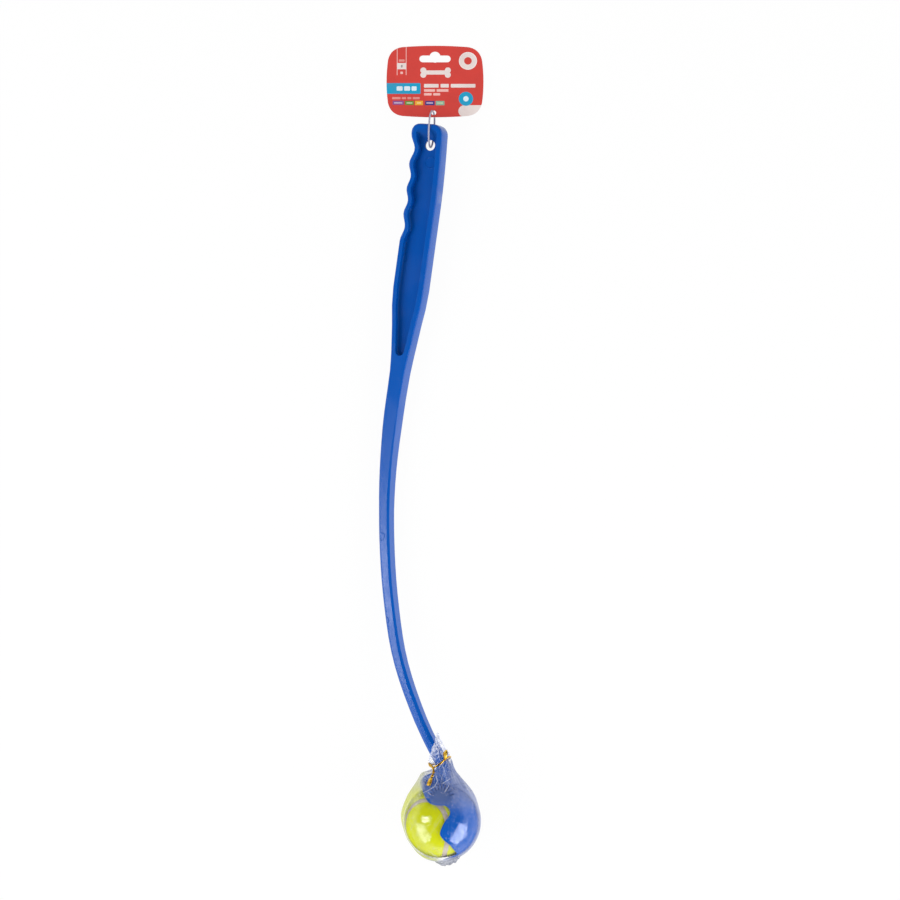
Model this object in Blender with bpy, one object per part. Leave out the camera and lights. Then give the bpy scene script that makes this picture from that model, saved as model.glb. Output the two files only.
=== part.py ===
"""A dog's ball thrower as it lies on a table: launcher, wrapped tennis ball, hang tag and tag loop.

Metres, +Z up. The launcher is drawn in its own mould plane, with the ball's centre as origin: x runs from
the cup's mouth to its back, y up the shaft to the grip, and z across the mould. An empty then lays the whole
of it down on its three resting points: the wrapped ball, the shaft's bow and the grip.
"""

import math

import bmesh
import bpy
from mathutils import Euler, Matrix, Vector

MM = 0.001

# Clearances
RUNNING_GAP = 0.3 * MM
MERGE_DISTANCE = 0.01 * MM
CUT_OVERRUN = 2.0 * MM

# Tennis ball
BALL_RADIUS = 32.3 * MM
FELT_THICKNESS = 2.4 * MM
CORE_WALL = 3.3 * MM
SEAM_WIDTH = 3.8 * MM
SEAM_SINK = 0.3 * MM
SEAM_WAIST_SHARE = 0.3
BALL_TURN_DEG = (-53.6, 30.0, 4.8)

# Cup
CUP_WALL = 2.1 * MM
CUP_REACH_DEG = 121.0
FILLET_DEPTH = 11.0 * MM
FILLET_ROUND_SHARE = 0.75

# Launcher
TOP_HEIGHT = 617.0 * MM
BOW_DEPTH = 51.3 * MM
GRIP_WIDTH = 29.6 * MM
GRIP_DEPTH = 18.0 * MM
SHAFT_WIDTH = 9.6 * MM
SHAFT_DEPTH = 15.5 * MM
NECK_DEPTH = 14.0 * MM
GRIP_EDGE = 2.4 * MM
SHAFT_EDGE = 1.8 * MM
END_RADIUS_LEFT = 7.5 * MM
END_RADIUS_RIGHT = 9.5 * MM

# Finger grooves
FIRST_RIDGE = 9.5 * MM
FINGER_PITCH = 23.9 * MM
FINGER_DEPTH = 2.7 * MM
FINGER_PITCH_SHARES = (1.11, 0.945, 0.91, 1.035)
FINGER_DEPTH_SHARES = (1.5, 1.0, 0.97, 1.1)

# Grip pockets and hanging hole
RIM_WIDTH = 4.7 * MM
WEB_THICKNESS = 2.4 * MM
POCKET_END_WIDTH = 7.3 * MM
POCKET_SCOOP = 6.2 * MM
POCKET_CORNER = 4.5 * MM
POCKET_DRAFT_DEG = 3.0
HOLE_DIAMETER = 9.4 * MM
HOLE_DROP = 18.6 * MM
HOLE_SIDE = 1.6 * MM

# Film bag
FILM_THICKNESS = 0.35 * MM
FILM_EASE = 0.4 * MM
GATHER_RISE = 17.9 * MM
GATHER_ACROSS = 9.2 * MM
GATHER_DEPTH = 10.8 * MM
GATHER_SIDE = 1.0 * MM
TUFT_LENGTH = 17.0 * MM
TUFT_PEAK_DEG = 70.0
TUFT_LOW_SHARE = 0.4
TUFT_PLEATS = 7
TUFT_PLEAT_SHARE = 0.07

# Twist tie
TIE_THICKNESS = 0.8 * MM
TIE_WIDTH = 2.8 * MM
TIE_TAB_WIDTH = 4.4 * MM
TIE_LEG_DEG = (136.0, 92.0)
TIE_END_DEG = (14.0, 22.0)

# Hang tag
TAG_WIDTH = 86.3 * MM
TAG_HEIGHT = 65.2 * MM
CARD_THICKNESS = 0.5 * MM
TAG_SIDE_STEP = 1.0 * MM
TAG_SIDE_CROWN = 3.6 * MM
TAG_END_CROWN = 2.6 * MM
TAG_CORNER = 10.5 * MM
SLOT_LENGTH = 27.9 * MM
SLOT_WIDTH = 6.2 * MM
SLOT_DROP = 12.0 * MM
SLOT_BUMP = 10.0 * MM
SLOT_BUMP_RISE = 1.6 * MM
TAG_HOLE = 4.2 * MM
TAG_HOLE_SIDE = 0.45 * MM
TAG_HOLE_EDGE = 3.6 * MM

# Tag loop
LOOP_STRAND = 2.0 * MM
LOOP_BEND = 10.6 * MM
LOOP_SLACK = 1.7 * MM
LOOP_REACH = 12.1 * MM
LOOP_CROSS_DEG = 33.0
LOOP_TILT_DEG = 8.0
LOOP_LEAN_DEG = 3.5

CORE_RADIUS = BALL_RADIUS - FELT_THICKNESS - RUNNING_GAP
CUP_INSIDE = BALL_RADIUS + RUNNING_GAP
CUP_OUTSIDE = CUP_INSIDE + CUP_WALL
FILM_INSIDE = CUP_OUTSIDE + RUNNING_GAP + FILM_EASE
GATHER_HEIGHT = CUP_OUTSIDE + GATHER_RISE
BALL_SIDE_EASE = CUP_OUTSIDE - BALL_RADIUS

# The spine's upper points: sideways as a share of the bow, height as a share of the top's height
SPINE_SHARES = (
    (-0.175, 1.02),
    (-0.187, 1.0),
    (-0.296, 0.904),
    (-0.55, 0.759),
    (-0.702, 0.668),
    (-0.883, 0.573),
    (-0.984, 0.487),
    (-0.992, 0.401),
    (-0.916, 0.315),
    (-0.739, 0.229),
)
# Its lower points, which lead into the cup: both as shares of the cup's outer radius
NECK_SHARES = ((-0.527, 2.54), (0.124, 1.337), (0.56, 0.56), (0.8, 0.1))

# Height as a share of the top's height, then width, depth and edge as shares of the grip's or the shaft's
GRIP_STOPS = (
    (1.02, 1.0, 1.0, 1.0),
    (0.765, 1.0, 1.0, 1.0),
    (0.736, 0.922, 1.0, 1.0),
    (0.7135, 0.787, 1.0, 1.0),
    (0.69, 0.679, 1.0, 1.0),
    (0.668, 0.568, 1.0, 0.9),
    (0.6445, 0.48, 1.0, 0.7),
)
SHAFT_STOPS = (
    (0.616, 1.36, 1.13, 0.6),
    (0.573, 1.33, 1.1, 0.5),
    (0.53, 1.2, 1.06, 0.7),
    (0.487, 1.1, 1.03, 0.9),
    (0.444, 1.02, 1.0, 1.0),
    (0.358, 0.99, 1.0, 1.0),
    (0.272, 0.97, 0.98, 1.0),
    (0.186, 0.93, 0.95, 1.3),
)
# Height as a share of the cup's outer radius, then width, depth and edge as shares of the shaft's and neck's
NECK_STOPS = (
    (2.2, 0.92, 1.0, 1.45),
    (1.5, 1.0, 1.0, 1.45),
    (1.2, 1.18, 1.05, 1.5),
    (0.9, 1.5, 1.2, 1.6),
    (0.5, 1.55, 1.3, 1.6),
    (0.0, 1.55, 1.3, 1.6),
)

# The cup's edge seen square to the mould plane, as shares of the cup's inner radius, from the upper lip
# over the upper notch, the side lobe and the lower notch to the lower lip
CUP_EDGE_SHARES = (
    (-0.4, 1.45),
    (-0.55, 1.25),
    (-0.57, 1.11),
    (-0.49, 1.03),
    (-0.37, 0.94),
    (-0.27, 0.84),
    (-0.145, 0.69),
    (0.045, 0.52),
    (0.29, 0.47),
    (0.457, 0.46),
    (0.567, 0.353),
    (0.58, 0.218),
    (0.454, 0.0),
    (0.343, -0.273),
    (0.4, -0.436),
    (0.53, -0.598),
    (0.583, -0.8),
    (0.537, -0.877),
    (0.362, -0.95),
    (0.132, -1.037),
    (0.08, -1.12),
    (0.09, -1.45),
)

# The fillet between the neck and the upper lip seen square to the mould plane, as shares of the cup's outer
# radius, from the lip's tip up to the neck and down its middle
FILLET_SHARES = ((-0.52, 1.0), (-0.45, 1.1), (-0.36, 1.165), (-0.25, 1.21), (-0.13, 1.27), (0.0, 1.5))

# The bag above the ball: height and half width as shares of the film's radius, its middle's place sideways
# as a share of it, and its tilt as a share of the gather's
SHOULDER_SHARES = (
    (0.3, 0.955, 0.0, 0.0),
    (0.49, 0.895, 0.01, 0.0),
    (0.74, 0.775, 0.015, 0.0),
    (0.985, 0.585, -0.015, 0.05),
    (1.235, 0.4, -0.05, 0.2),
)


def clear_scene():
    for thing in list(bpy.data.objects):
        bpy.data.objects.remove(thing, do_unlink=True)


def material(name, colour, roughness, metallic=0.0, alpha=1.0):
    made = bpy.data.materials.new(name)
    made.use_nodes = True
    shader = made.node_tree.nodes["Principled BSDF"]
    shader.inputs["Base Color"].default_value = (*colour, 1.0)
    shader.inputs["Roughness"].default_value = roughness
    shader.inputs["Metallic"].default_value = metallic
    shader.inputs["Alpha"].default_value = alpha
    return made


def mesh_object(name, bm, finish=None, parent=None, sharp_deg=32.0):
    """An object from a bmesh, with its faces turned outwards and its soft edges shaded smooth."""
    bmesh.ops.recalc_face_normals(bm, faces=bm.faces)
    mesh = bpy.data.meshes.new(name)
    bm.to_mesh(mesh)
    bm.free()
    mesh.shade_smooth()
    mesh.set_sharp_from_angle(angle=math.radians(sharp_deg))
    made = bpy.data.objects.new(name, mesh)
    bpy.context.scene.collection.objects.link(made)
    if finish:
        mesh.materials.append(finish)
    made.parent = parent
    return made


def empty(name, matrix, parent=None):
    made = bpy.data.objects.new(name, None)
    bpy.context.scene.collection.objects.link(made)
    made.parent = parent
    made.matrix_local = matrix
    return made


def helper(thing):
    """Marks a cutter or a joined form, which isn't a piece of its own."""
    thing.hide_render = True
    thing.display_type = "WIRE"
    return thing


def boolean(target, other, operation):
    step = target.modifiers.new(f"{operation.lower()}_{other.name}", "BOOLEAN")
    step.operation = operation
    step.solver = "EXACT"
    step.object = helper(other)


def smoothstep(share):
    share = min(max(share, 0.0), 1.0)
    return share * share * (3.0 - 2.0 * share)


def through(points, steps):
    """A smooth curve through the points, with this many steps between each two."""
    ends = [points[0] * 2 - points[1], *points, points[-1] * 2 - points[-2]]
    curve = []
    for a, b, c, d in zip(ends, ends[1:], ends[2:], ends[3:]):
        for step in range(steps):
            t = step / steps
            curve.append(
                0.5
                * (
                    b * 2
                    + (c - a) * t
                    + (a * 2 - b * 5 + c * 4 - d) * t**2
                    + (b * 3 - a - c * 3 + d) * t**3
                )
            )
    return [*curve, points[-1].copy()]


def between(stops, place):
    """The values at a place in a table of stops that run from high to low."""
    for high, low in zip(stops, stops[1:]):
        if place >= low[0]:
            share = min((high[0] - place) / (high[0] - low[0]), 1.0)
            return [a + (b - a) * share for a, b in zip(high[1:], low[1:])]
    return list(stops[-1][1:])


def bridge(bm, rings, closed=False, capped=True):
    """Faces between rings of vertices, each to the next."""
    pairs = list(zip(rings, rings[1:]))
    if closed:
        pairs.append((rings[-1], rings[0]))
    for first, second in pairs:
        for i in range(len(first)):
            j = (i + 1) % len(first)
            bm.faces.new((first[i], first[j], second[j], second[i]))
    if capped:
        bm.faces.new(rings[0])
        bm.faces.new(list(reversed(rings[-1])))


def loft(rings, closed=False, capped=True):
    bm = bmesh.new()
    bridge(bm, [[bm.verts.new(p) for p in ring] for ring in rings], closed, capped)
    return bm


def prism(outline, low, high):
    return loft([[Vector((x, y, z)) for x, y in outline] for z in (low, high)])


SPINE = through(
    [Vector((x * BOW_DEPTH, y * TOP_HEIGHT)) for x, y in SPINE_SHARES]
    + [Vector((x * CUP_OUTSIDE, y * CUP_OUTSIDE)) for x, y in NECK_SHARES],
    24,
)
SECTION_STOPS = (
    [
        (h * TOP_HEIGHT, w * GRIP_WIDTH, d * GRIP_DEPTH, e * GRIP_EDGE)
        for h, w, d, e in GRIP_STOPS
    ]
    + [
        (h * TOP_HEIGHT, w * SHAFT_WIDTH, d * SHAFT_DEPTH, e * SHAFT_EDGE)
        for h, w, d, e in SHAFT_STOPS
    ]
    + [
        (h * CUP_OUTSIDE, w * SHAFT_WIDTH, d * NECK_DEPTH, e * SHAFT_EDGE)
        for h, w, d, e in NECK_STOPS
    ]
)


def spine_at(height):
    """The spine's point at a height, and the direction across it, towards the launcher's back."""
    for high, low in zip(SPINE, SPINE[1:]):
        if height >= low.y:
            break
    share = min(max((high.y - height) / (high.y - low.y), 0.0), 1.0)
    heading = (low - high).normalized()
    return high.lerp(low, share), Vector((-heading.y, heading.x))


def groove_depth(drop):
    """How deep the finger grooves are at a distance below the grip's top."""
    start = FIRST_RIDGE
    for pitch, depth in zip(FINGER_PITCH_SHARES, FINGER_DEPTH_SHARES):
        share = (drop - start) / (pitch * FINGER_PITCH)
        if 0.0 <= share < 1.0:
            return depth * FINGER_DEPTH * 0.5 * (1.0 - math.cos(math.tau * share))
        start += pitch * FINGER_PITCH
    return 0.0


def rounded_end(full, radius, drop):
    """A half width that falls off in an arc towards the end of the piece."""
    if drop >= radius:
        return full
    return full - radius + math.sqrt(radius**2 - (radius - max(drop, 0.0)) ** 2)


def section(height):
    """The launcher's reach to the left and right of its spine, its half depth and its edge, at a height."""
    width, depth, edge = between(SECTION_STOPS, height)
    drop = TOP_HEIGHT - height
    left = rounded_end(width / 2, END_RADIUS_LEFT, drop) - groove_depth(drop)
    right = rounded_end(width / 2, END_RADIUS_RIGHT, drop)
    return left, right, rounded_end(depth / 2, edge, drop), edge


def section_ring(height):
    """Twelve points round the launcher: rounded edges on the grip, flat chamfers on the shaft."""
    point, across = spine_at(height)
    left, right, half, edge = section(height)
    chamfer = smoothstep((SECTION_STOPS[4][0] - height) / (SECTION_STOPS[4][0] - SECTION_STOPS[8][0]))
    inset = edge * (0.293 + 0.207 * chamfer)
    ring = []
    for side, up in ((1, 1), (-1, 1), (-1, -1), (1, -1)):
        reach = right if side > 0 else left
        corner = [
            (reach, half - edge),
            (reach - inset, half - inset),
            (reach - edge, half),
        ]
        if side * up < 0:
            corner.reverse()
        for off, z in corner:
            place = point + across * (side * off)
            ring.append(Vector((place.x, place.y, up * z)))
    return ring


def steps_between(start, end, step):
    count = max(round(abs(end - start) / step), 1)
    return [start + (end - start) * i / count for i in range(count)]


def launcher_heights():
    grooves_end = FIRST_RIDGE + FINGER_PITCH * sum(FINGER_PITCH_SHARES)
    ends = [TOP_HEIGHT - GRIP_EDGE * share for share in (0.0, 0.12, 0.45, 1.0)]
    corner = TOP_HEIGHT - END_RADIUS_RIGHT
    shaft_top = GRIP_STOPS[-1][0] * TOP_HEIGHT
    neck_top = NECK_STOPS[0][0] * CUP_OUTSIDE
    return (
        ends[:-1]
        + steps_between(ends[-1], corner, GRIP_EDGE)
        + steps_between(corner, TOP_HEIGHT - grooves_end, FINGER_PITCH / 8)
        + steps_between(TOP_HEIGHT - grooves_end, shaft_top, FINGER_PITCH / 3)
        + steps_between(shaft_top, neck_top, SHAFT_WIDTH * 1.3)
        + steps_between(neck_top, CUP_OUTSIDE * 0.45, SHAFT_WIDTH * 0.7)
        + [CUP_OUTSIDE * 0.45]
    )


def bisect(low, high, too_low):
    """The value between low and high at which too_low stops holding."""
    for _ in range(36):
        middle = (low + high) / 2
        if too_low(middle):
            low = middle
        else:
            high = middle
    return (low + high) / 2


def pocket_end():
    """The height at which the tapering grip leaves the pocket no more than its end's width."""
    return bisect(
        SHAFT_STOPS[-1][0] * TOP_HEIGHT,
        GRIP_STOPS[1][0] * TOP_HEIGHT,
        lambda height: between(SECTION_STOPS, height)[0] < POCKET_END_WIDTH + 2 * RIM_WIDTH,
    )


def pocket_outline(inset, scoop):
    """The outline of a grip pocket: the grip's own outline less its rim, round at both ends."""
    top = TOP_HEIGHT - RIM_WIDTH - scoop - inset
    bottom = pocket_end() + inset
    corner = POCKET_CORNER
    heights = [top - corner * share for share in (0.0, 0.08, 0.3, 0.65)]
    heights += steps_between(
        TOP_HEIGHT - RIM_WIDTH - POCKET_SCOOP - corner, pocket_end() + corner, FINGER_PITCH / 6
    )
    heights += [bottom + corner * share for share in (0.9, 0.65, 0.3, 0.08, 0.0)]
    left_side, right_side = [], []
    for height in heights:
        point, across = spine_at(height)
        width, _, _ = between(SECTION_STOPS, height)
        room = width / 2 - RIM_WIDTH - inset
        reach = rounded_end(room, min(corner, room), min(top - height, height - bottom))
        left_side.append(point - across * max(reach - groove_depth(TOP_HEIGHT - height), 0.0))
        right_side.append(point + across * reach)
    return left_side + right_side[-2::-1]


def grip_pocket(name, side, parent):
    """The cutter for the pocket in one face of the grip: drafted walls, a scooped upper end, a flat web."""
    face, web = GRIP_DEPTH / 2, WEB_THICKNESS / 2
    rings = []
    for level in (web, face + CUT_OVERRUN):
        inset = (face - level) * math.tan(math.radians(POCKET_DRAFT_DEG))
        scoop = POCKET_SCOOP * (face - level) / (face - web)
        rings.append([Vector((p.x, p.y, side * level)) for p in pocket_outline(inset, scoop)])
    return mesh_object(name, loft(rings), parent=parent)


def hole_place():
    point, across = spine_at(TOP_HEIGHT - HOLE_DROP)
    return point + across * HOLE_SIDE


def cylinder_cutter(name, radius, centre, half_length, parent, segments=24):
    bm = bmesh.new()
    bmesh.ops.create_cone(
        bm,
        cap_ends=True,
        segments=segments,
        radius1=radius,
        radius2=radius,
        depth=2 * half_length,
        matrix=Matrix.Translation(centre),
    )
    return mesh_object(name, bm, parent=parent)


def cup_profile():
    """Half the cup's wall, as distances along and from its axis: a hemisphere that runs on straight at its
    mouth, so that the ball slides out."""

    def wall(radius, degrees):
        angle = math.radians(degrees)
        if degrees <= 90.0:
            return Vector((radius * math.cos(angle), radius * math.sin(angle)))
        return Vector((CUP_INSIDE / math.tan(angle), radius))

    angles = [CUP_REACH_DEG * i / 18 for i in range(19)]
    outer = [wall(CUP_OUTSIDE, a) for a in angles]
    inner = [wall(CUP_INSIDE, a) for a in reversed(angles)]
    return outer + inner


def cup_bowl(parent):
    bm = bmesh.new()
    profile = [bm.verts.new((p.x, p.y, 0.0)) for p in cup_profile()]
    edges = [bm.edges.new(pair) for pair in zip(profile, profile[1:])]
    bmesh.ops.spin(
        bm,
        geom=profile + edges,
        axis=(1.0, 0.0, 0.0),
        cent=(0.0, 0.0, 0.0),
        steps=48,
        angle=math.tau,
        use_merge=True,
        use_duplicate=False,
    )
    bmesh.ops.remove_doubles(bm, verts=bm.verts, dist=MERGE_DISTANCE)
    return mesh_object("cup_bowl", bm, parent=parent)


def cup_edge_cutter(parent):
    """The space in front of the cup's wavy edge, cut square to the mould plane."""
    wave = through([Vector(p) * CUP_INSIDE for p in CUP_EDGE_SHARES], 3)
    clear = 2.0 * CUP_OUTSIDE
    outline = [(-clear, wave[0].y)] + [tuple(p) for p in wave] + [(-clear, wave[-1].y)]
    return mesh_object("cup_edge_cutter", prism(outline, -clear, clear), parent=parent)


def lip_fillet(parent):
    """The web that runs the neck's hollow side out into the cup's upper lip, with rounded edges."""
    edge = through([Vector(p) * CUP_OUTSIDE for p in FILLET_SHARES], 3)
    seat = CUP_INSIDE + CUP_WALL * 0.25
    neck = spine_at(edge[-1].y)[0]
    rings = []
    for z, inset in ((-1.0, 1.0), (-0.7, 0.0), (0.7, 0.0), (1.0, 1.0)):
        shift = Vector((0.7, -0.7)) * (inset * FILLET_ROUND_SHARE * CUP_WALL)
        ring = [p + shift for p in edge]
        ring += [neck + shift, Vector((seat * 0.35, seat * 0.937)), Vector((0.0, seat))]
        ring.append(Vector((edge[0].x + shift.x, seat)))
        rings.append([Vector((p.x, p.y, z * FILLET_DEPTH / 2)) for p in ring])
    return mesh_object("lip_fillet", loft(rings), parent=parent)


def ball_clearance(parent):
    """A sphere that ends the neck inside the cup's wall."""
    bm = bmesh.new()
    bmesh.ops.create_uvsphere(
        bm, u_segments=48, v_segments=24, radius=CUP_INSIDE + CUP_WALL / 2
    )
    return mesh_object("ball_clearance", bm, parent=parent)


def make_launcher(parent, finish):
    wand = mesh_object(
        "launcher_wand", loft([section_ring(h) for h in launcher_heights()]), finish, parent
    )
    bowl = cup_bowl(parent)
    boolean(bowl, cup_edge_cutter(parent), "DIFFERENCE")
    place = hole_place()
    hole = cylinder_cutter(
        "hanging_hole_cutter",
        HOLE_DIAMETER / 2,
        Vector((place.x, place.y, 0.0)),
        WEB_THICKNESS + CUT_OVERRUN,
        parent,
    )
    boolean(wand, ball_clearance(parent), "DIFFERENCE")
    boolean(wand, grip_pocket("front_pocket_cutter", 1, parent), "DIFFERENCE")
    boolean(wand, grip_pocket("back_pocket_cutter", -1, parent), "DIFFERENCE")
    boolean(wand, hole, "DIFFERENCE")
    boolean(wand, lip_fillet(parent), "UNION")
    boolean(wand, bowl, "UNION")
    return wand


def seam_point(turn):
    """A point on the unit ball's seam, and the direction across it, towards the first felt panel."""
    b = SEAM_WAIST_SHARE
    a = 1.0 - b
    c = 2.0 * math.sqrt(a * b)

    def place(t):
        return Vector(
            (
                a * math.cos(t) + b * math.cos(3 * t),
                a * math.sin(t) - b * math.sin(3 * t),
                c * math.sin(2 * t),
            )
        )

    point = place(turn)
    nudge = math.radians(0.5)
    along = (place(turn + nudge) - place(turn - nudge)).normalized()
    return point.normalized(), point.cross(along).normalized()


def beside_seam(turn, distance):
    """A point on the unit ball this far, in radians, to one side of the seam."""
    point, across = seam_point(turn)
    return point * math.cos(distance) + across * math.sin(distance)


def make_felt_panel(name, first, parent, finish):
    """One dumbbell of felt, laid out in rungs between the two sides of the seam."""
    side = 1.0 if first else -1.0
    start = -math.pi / 4 if first else math.pi / 4
    distance = side * (SEAM_WIDTH / 2 + RUNNING_GAP) / BALL_RADIUS
    rung_count, cell_count = 28, 9
    bm = bmesh.new()
    layers = []
    for radius in (BALL_RADIUS, CORE_RADIUS + RUNNING_GAP):
        rungs = []
        for i in range(rung_count + 1):
            turn = start + math.pi * i / rung_count
            a = beside_seam(turn, distance)
            if i in (0, rung_count):
                rungs.append([bm.verts.new(a * radius)] * (cell_count + 1))
                continue
            b = beside_seam(2 * start - turn, distance)
            rungs.append(
                [bm.verts.new(a.slerp(b, j / cell_count) * radius) for j in range(cell_count + 1)]
            )
        layers.append(rungs)
    for rungs in layers:
        for lower, upper in zip(rungs, rungs[1:]):
            for j in range(cell_count):
                corners = [lower[j], lower[j + 1], upper[j + 1], upper[j]]
                bm.faces.new(list(dict.fromkeys(corners)))
    outer, inner = layers
    for i in range(rung_count):
        for j in (0, cell_count):
            corners = [outer[i][j], outer[i + 1][j], inner[i + 1][j], inner[i][j]]
            bm.faces.new(list(dict.fromkeys(corners)))
    return mesh_object(name, bm, finish, parent)


def make_seam(parent, finish):
    """The rubber band that fills the line between the two felt panels."""
    half = SEAM_WIDTH / 2 / BALL_RADIUS
    low, high = CORE_RADIUS + RUNNING_GAP, BALL_RADIUS - SEAM_SINK
    count = 72
    rings = []
    for i in range(count):
        turn = math.tau * i / count
        rings.append(
            [
                beside_seam(turn, -half) * low,
                beside_seam(turn, half) * low,
                beside_seam(turn, half) * high,
                beside_seam(turn, -half) * high,
            ]
        )
    return mesh_object("ball_seam", loft(rings, closed=True, capped=False), finish, parent)


def make_core_half(name, side, parent, finish):
    """Half of the hollow rubber core, cut flat where it is glued to the other half."""
    inside = CORE_RADIUS - CORE_WALL
    low = RUNNING_GAP / 2
    rows, sides = 7, 28

    def shell(radius):
        lip = math.asin(low / radius)
        rings = []
        for i in range(rows):
            angle = lip + (math.pi / 2 - lip) * i / rows
            reach, height = radius * math.cos(angle), side * radius * math.sin(angle)
            turns = [math.tau * j / sides for j in range(sides)]
            rings.append([bm.verts.new((reach * math.cos(t), reach * math.sin(t), height)) for t in turns])
        return rings, bm.verts.new((0.0, 0.0, side * radius))

    bm = bmesh.new()
    outer, outer_pole = shell(CORE_RADIUS)
    inner, inner_pole = shell(inside)
    bridge(bm, outer, capped=False)
    bridge(bm, inner, capped=False)
    bridge(bm, [outer[0], inner[0]], capped=False)
    for ring, pole in ((outer[-1], outer_pole), (inner[-1], inner_pole)):
        for first, second in zip(ring, ring[1:] + ring[:1]):
            bm.faces.new((first, second, pole))
    return mesh_object(name, bm, finish, parent)


def gather_frame(rise=0.0):
    """The bag's gathered ring, or a place further up the shaft: its middle and the direction across it."""
    point, across = spine_at(GATHER_HEIGHT + rise)
    return point - across * GATHER_SIDE, across


def film_point(level, angle, lift=0.0):
    """A point on the bag's outer face. Level runs from 0 at its bottom over 1, at the shoulder, and 2, at the
    gather, to 3 at the tuft's top."""
    radius = FILM_INSIDE + FILM_THICKNESS
    shoulder = SHOULDER_SHARES[0]
    if level <= 1.0:
        top = math.asin(shoulder[0])
        theta = -math.pi / 2 + (math.pi / 2 + top) * level
        out = Vector((math.cos(theta) * math.cos(angle), math.sin(theta), math.cos(theta) * math.sin(angle)))
        loose = 1.0 - smoothstep((out.y + shoulder[0]) / (2 * shoulder[0]))
        ease = BALL_SIDE_EASE * smoothstep((-out.x - 0.26) / 0.5) * loose
        return out * (radius - ease + lift)
    tie_middle, tie_across = gather_frame()
    heading = Vector((tie_across.y, -tie_across.x))
    if level <= 2.0:
        stops = [
            (y * radius, w * radius, w * radius, x * radius, tilt)
            for y, w, x, tilt in SHOULDER_SHARES
        ]
        for drop in (TIE_WIDTH, 0.0):
            middle = tie_middle + heading * drop
            stops.append((middle.y, GATHER_ACROSS, GATHER_DEPTH, middle.x, 1.0))
        place = (level - 1.0) * (len(stops) - 1)
        i = min(int(place), len(stops) - 2)
        y, wide, deep, x, tilt = (a + (b - a) * (place - i) for a, b in zip(stops[i], stops[i + 1]))
        lean = tilt * math.atan2(tie_across.y, tie_across.x)
        across = Vector((math.cos(lean), math.sin(lean)))
    else:
        up = level - 2.0
        crest = 0.5 + 0.5 * math.cos(angle - math.radians(TUFT_PEAK_DEG))
        rise = up * TUFT_LENGTH * (TUFT_LOW_SHARE + (1.0 - TUFT_LOW_SHARE) * crest)
        middle, across = gather_frame(rise)
        x, y = middle
        bunch = 1.0 - 0.12 * smoothstep(up) * (1.0 - TUFT_PLEAT_SHARE * math.cos(TUFT_PLEATS * angle))
        wide, deep = GATHER_ACROSS * bunch, GATHER_DEPTH * bunch
    wide, deep = wide + lift, deep + lift
    return Vector(
        (
            x + across.x * wide * math.cos(angle),
            y + across.y * wide * math.cos(angle),
            deep * math.sin(angle),
        )
    )


def film_rings():
    """The bag's outer face as rings of points, from just above its bottom to the tuft's open top."""
    stop_count = len(SHOULDER_SHARES) + 1
    levels = [i / 9 for i in range(1, 9)] + [1.0 + i / stop_count for i in range(stop_count)]
    levels += [2.0, 2.5, 3.0]
    sides = 28
    return [[film_point(level, math.tau * i / sides) for i in range(sides)] for level in levels]


def make_film_bag(parent, finish):
    """The clear bag: a thin skin that is open at the top of its tuft, round the shaft."""
    bm = bmesh.new()
    rings = [[bm.verts.new(p) for p in ring] for ring in film_rings()]
    bottom = bm.verts.new(film_point(0.0, 0.0))
    for first, second in zip(rings[0], rings[0][1:] + rings[0][:1]):
        bm.faces.new((bottom, first, second))
    bridge(bm, rings, capped=False)
    bag = mesh_object("film_bag", bm, finish, parent)
    skin = bag.modifiers.new("skin", "SOLIDIFY")
    skin.thickness = FILM_THICKNESS
    skin.offset = -1.0
    skin.use_even_offset = True
    return bag


def ribbon(name, stations, thickness, parent, finish=None):
    """A flat strip through stations of (point, direction across, outward direction, width)."""
    rings = []
    for point, across, out, width in stations:
        side, rise = across * (width / 2), out * thickness
        rings.append([point - side, point + side, point + side + rise, point - side + rise])
    return mesh_object(name, loft(rings), finish, parent)


def make_twist_tie(parent, finish):
    """The foil tie: a band round the gather, one leg down over the bag and one end up beside the tuft."""
    sides = 36
    middle, across = gather_frame()
    heading = Vector((across.y, -across.x, 0.0))
    lift = RUNNING_GAP + FILM_EASE / 2
    rings = []
    for i in range(sides):
        angle = math.tau * i / sides
        near = film_point(2.0, angle, lift)
        far = film_point(2.0, angle, lift + TIE_THICKNESS)
        up, down = -heading * (TIE_WIDTH / 2), heading * (TIE_WIDTH / 2)
        rings.append([near + down, far + down, far + up, near + up])
    tie = mesh_object("twist_tie", loft(rings, closed=True, capped=False), finish, parent)
    lift += TIE_THICKNESS / 2
    leg_levels = [2.0 - 0.095 * i for i in range(7)]
    end_levels = [2.0 + 0.12 * i for i in range(6)]
    for name, turn, levels, wide_from in (
        ("tie_leg", TIE_LEG_DEG, leg_levels, 4),
        ("tie_end", TIE_END_DEG, end_levels, 2),
    ):
        stations = []
        for i, level in enumerate(levels):
            share = i / (len(levels) - 1)
            angle = math.radians(turn[0] + (turn[1] - turn[0]) * share)
            rise = lift + min(i, 1) * TIE_THICKNESS
            point = film_point(level, angle, rise)
            side = (film_point(level, angle + math.radians(4.0), rise) - point).normalized()
            along = film_point(level + 0.02, angle, rise) - film_point(level - 0.02, angle, rise)
            out = side.cross(along.normalized()).normalized()
            if out.dot(point) < 0.0:
                out.negate()
            width = TIE_TAB_WIDTH if i >= wide_from else TIE_WIDTH * 0.9
            stations.append((point, side, out, width))
        boolean(tie, ribbon(name, stations, TIE_THICKNESS, parent), "UNION")
    return tie


def lowest(points, turn):
    return min((turn @ p).z for p in points)


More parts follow.
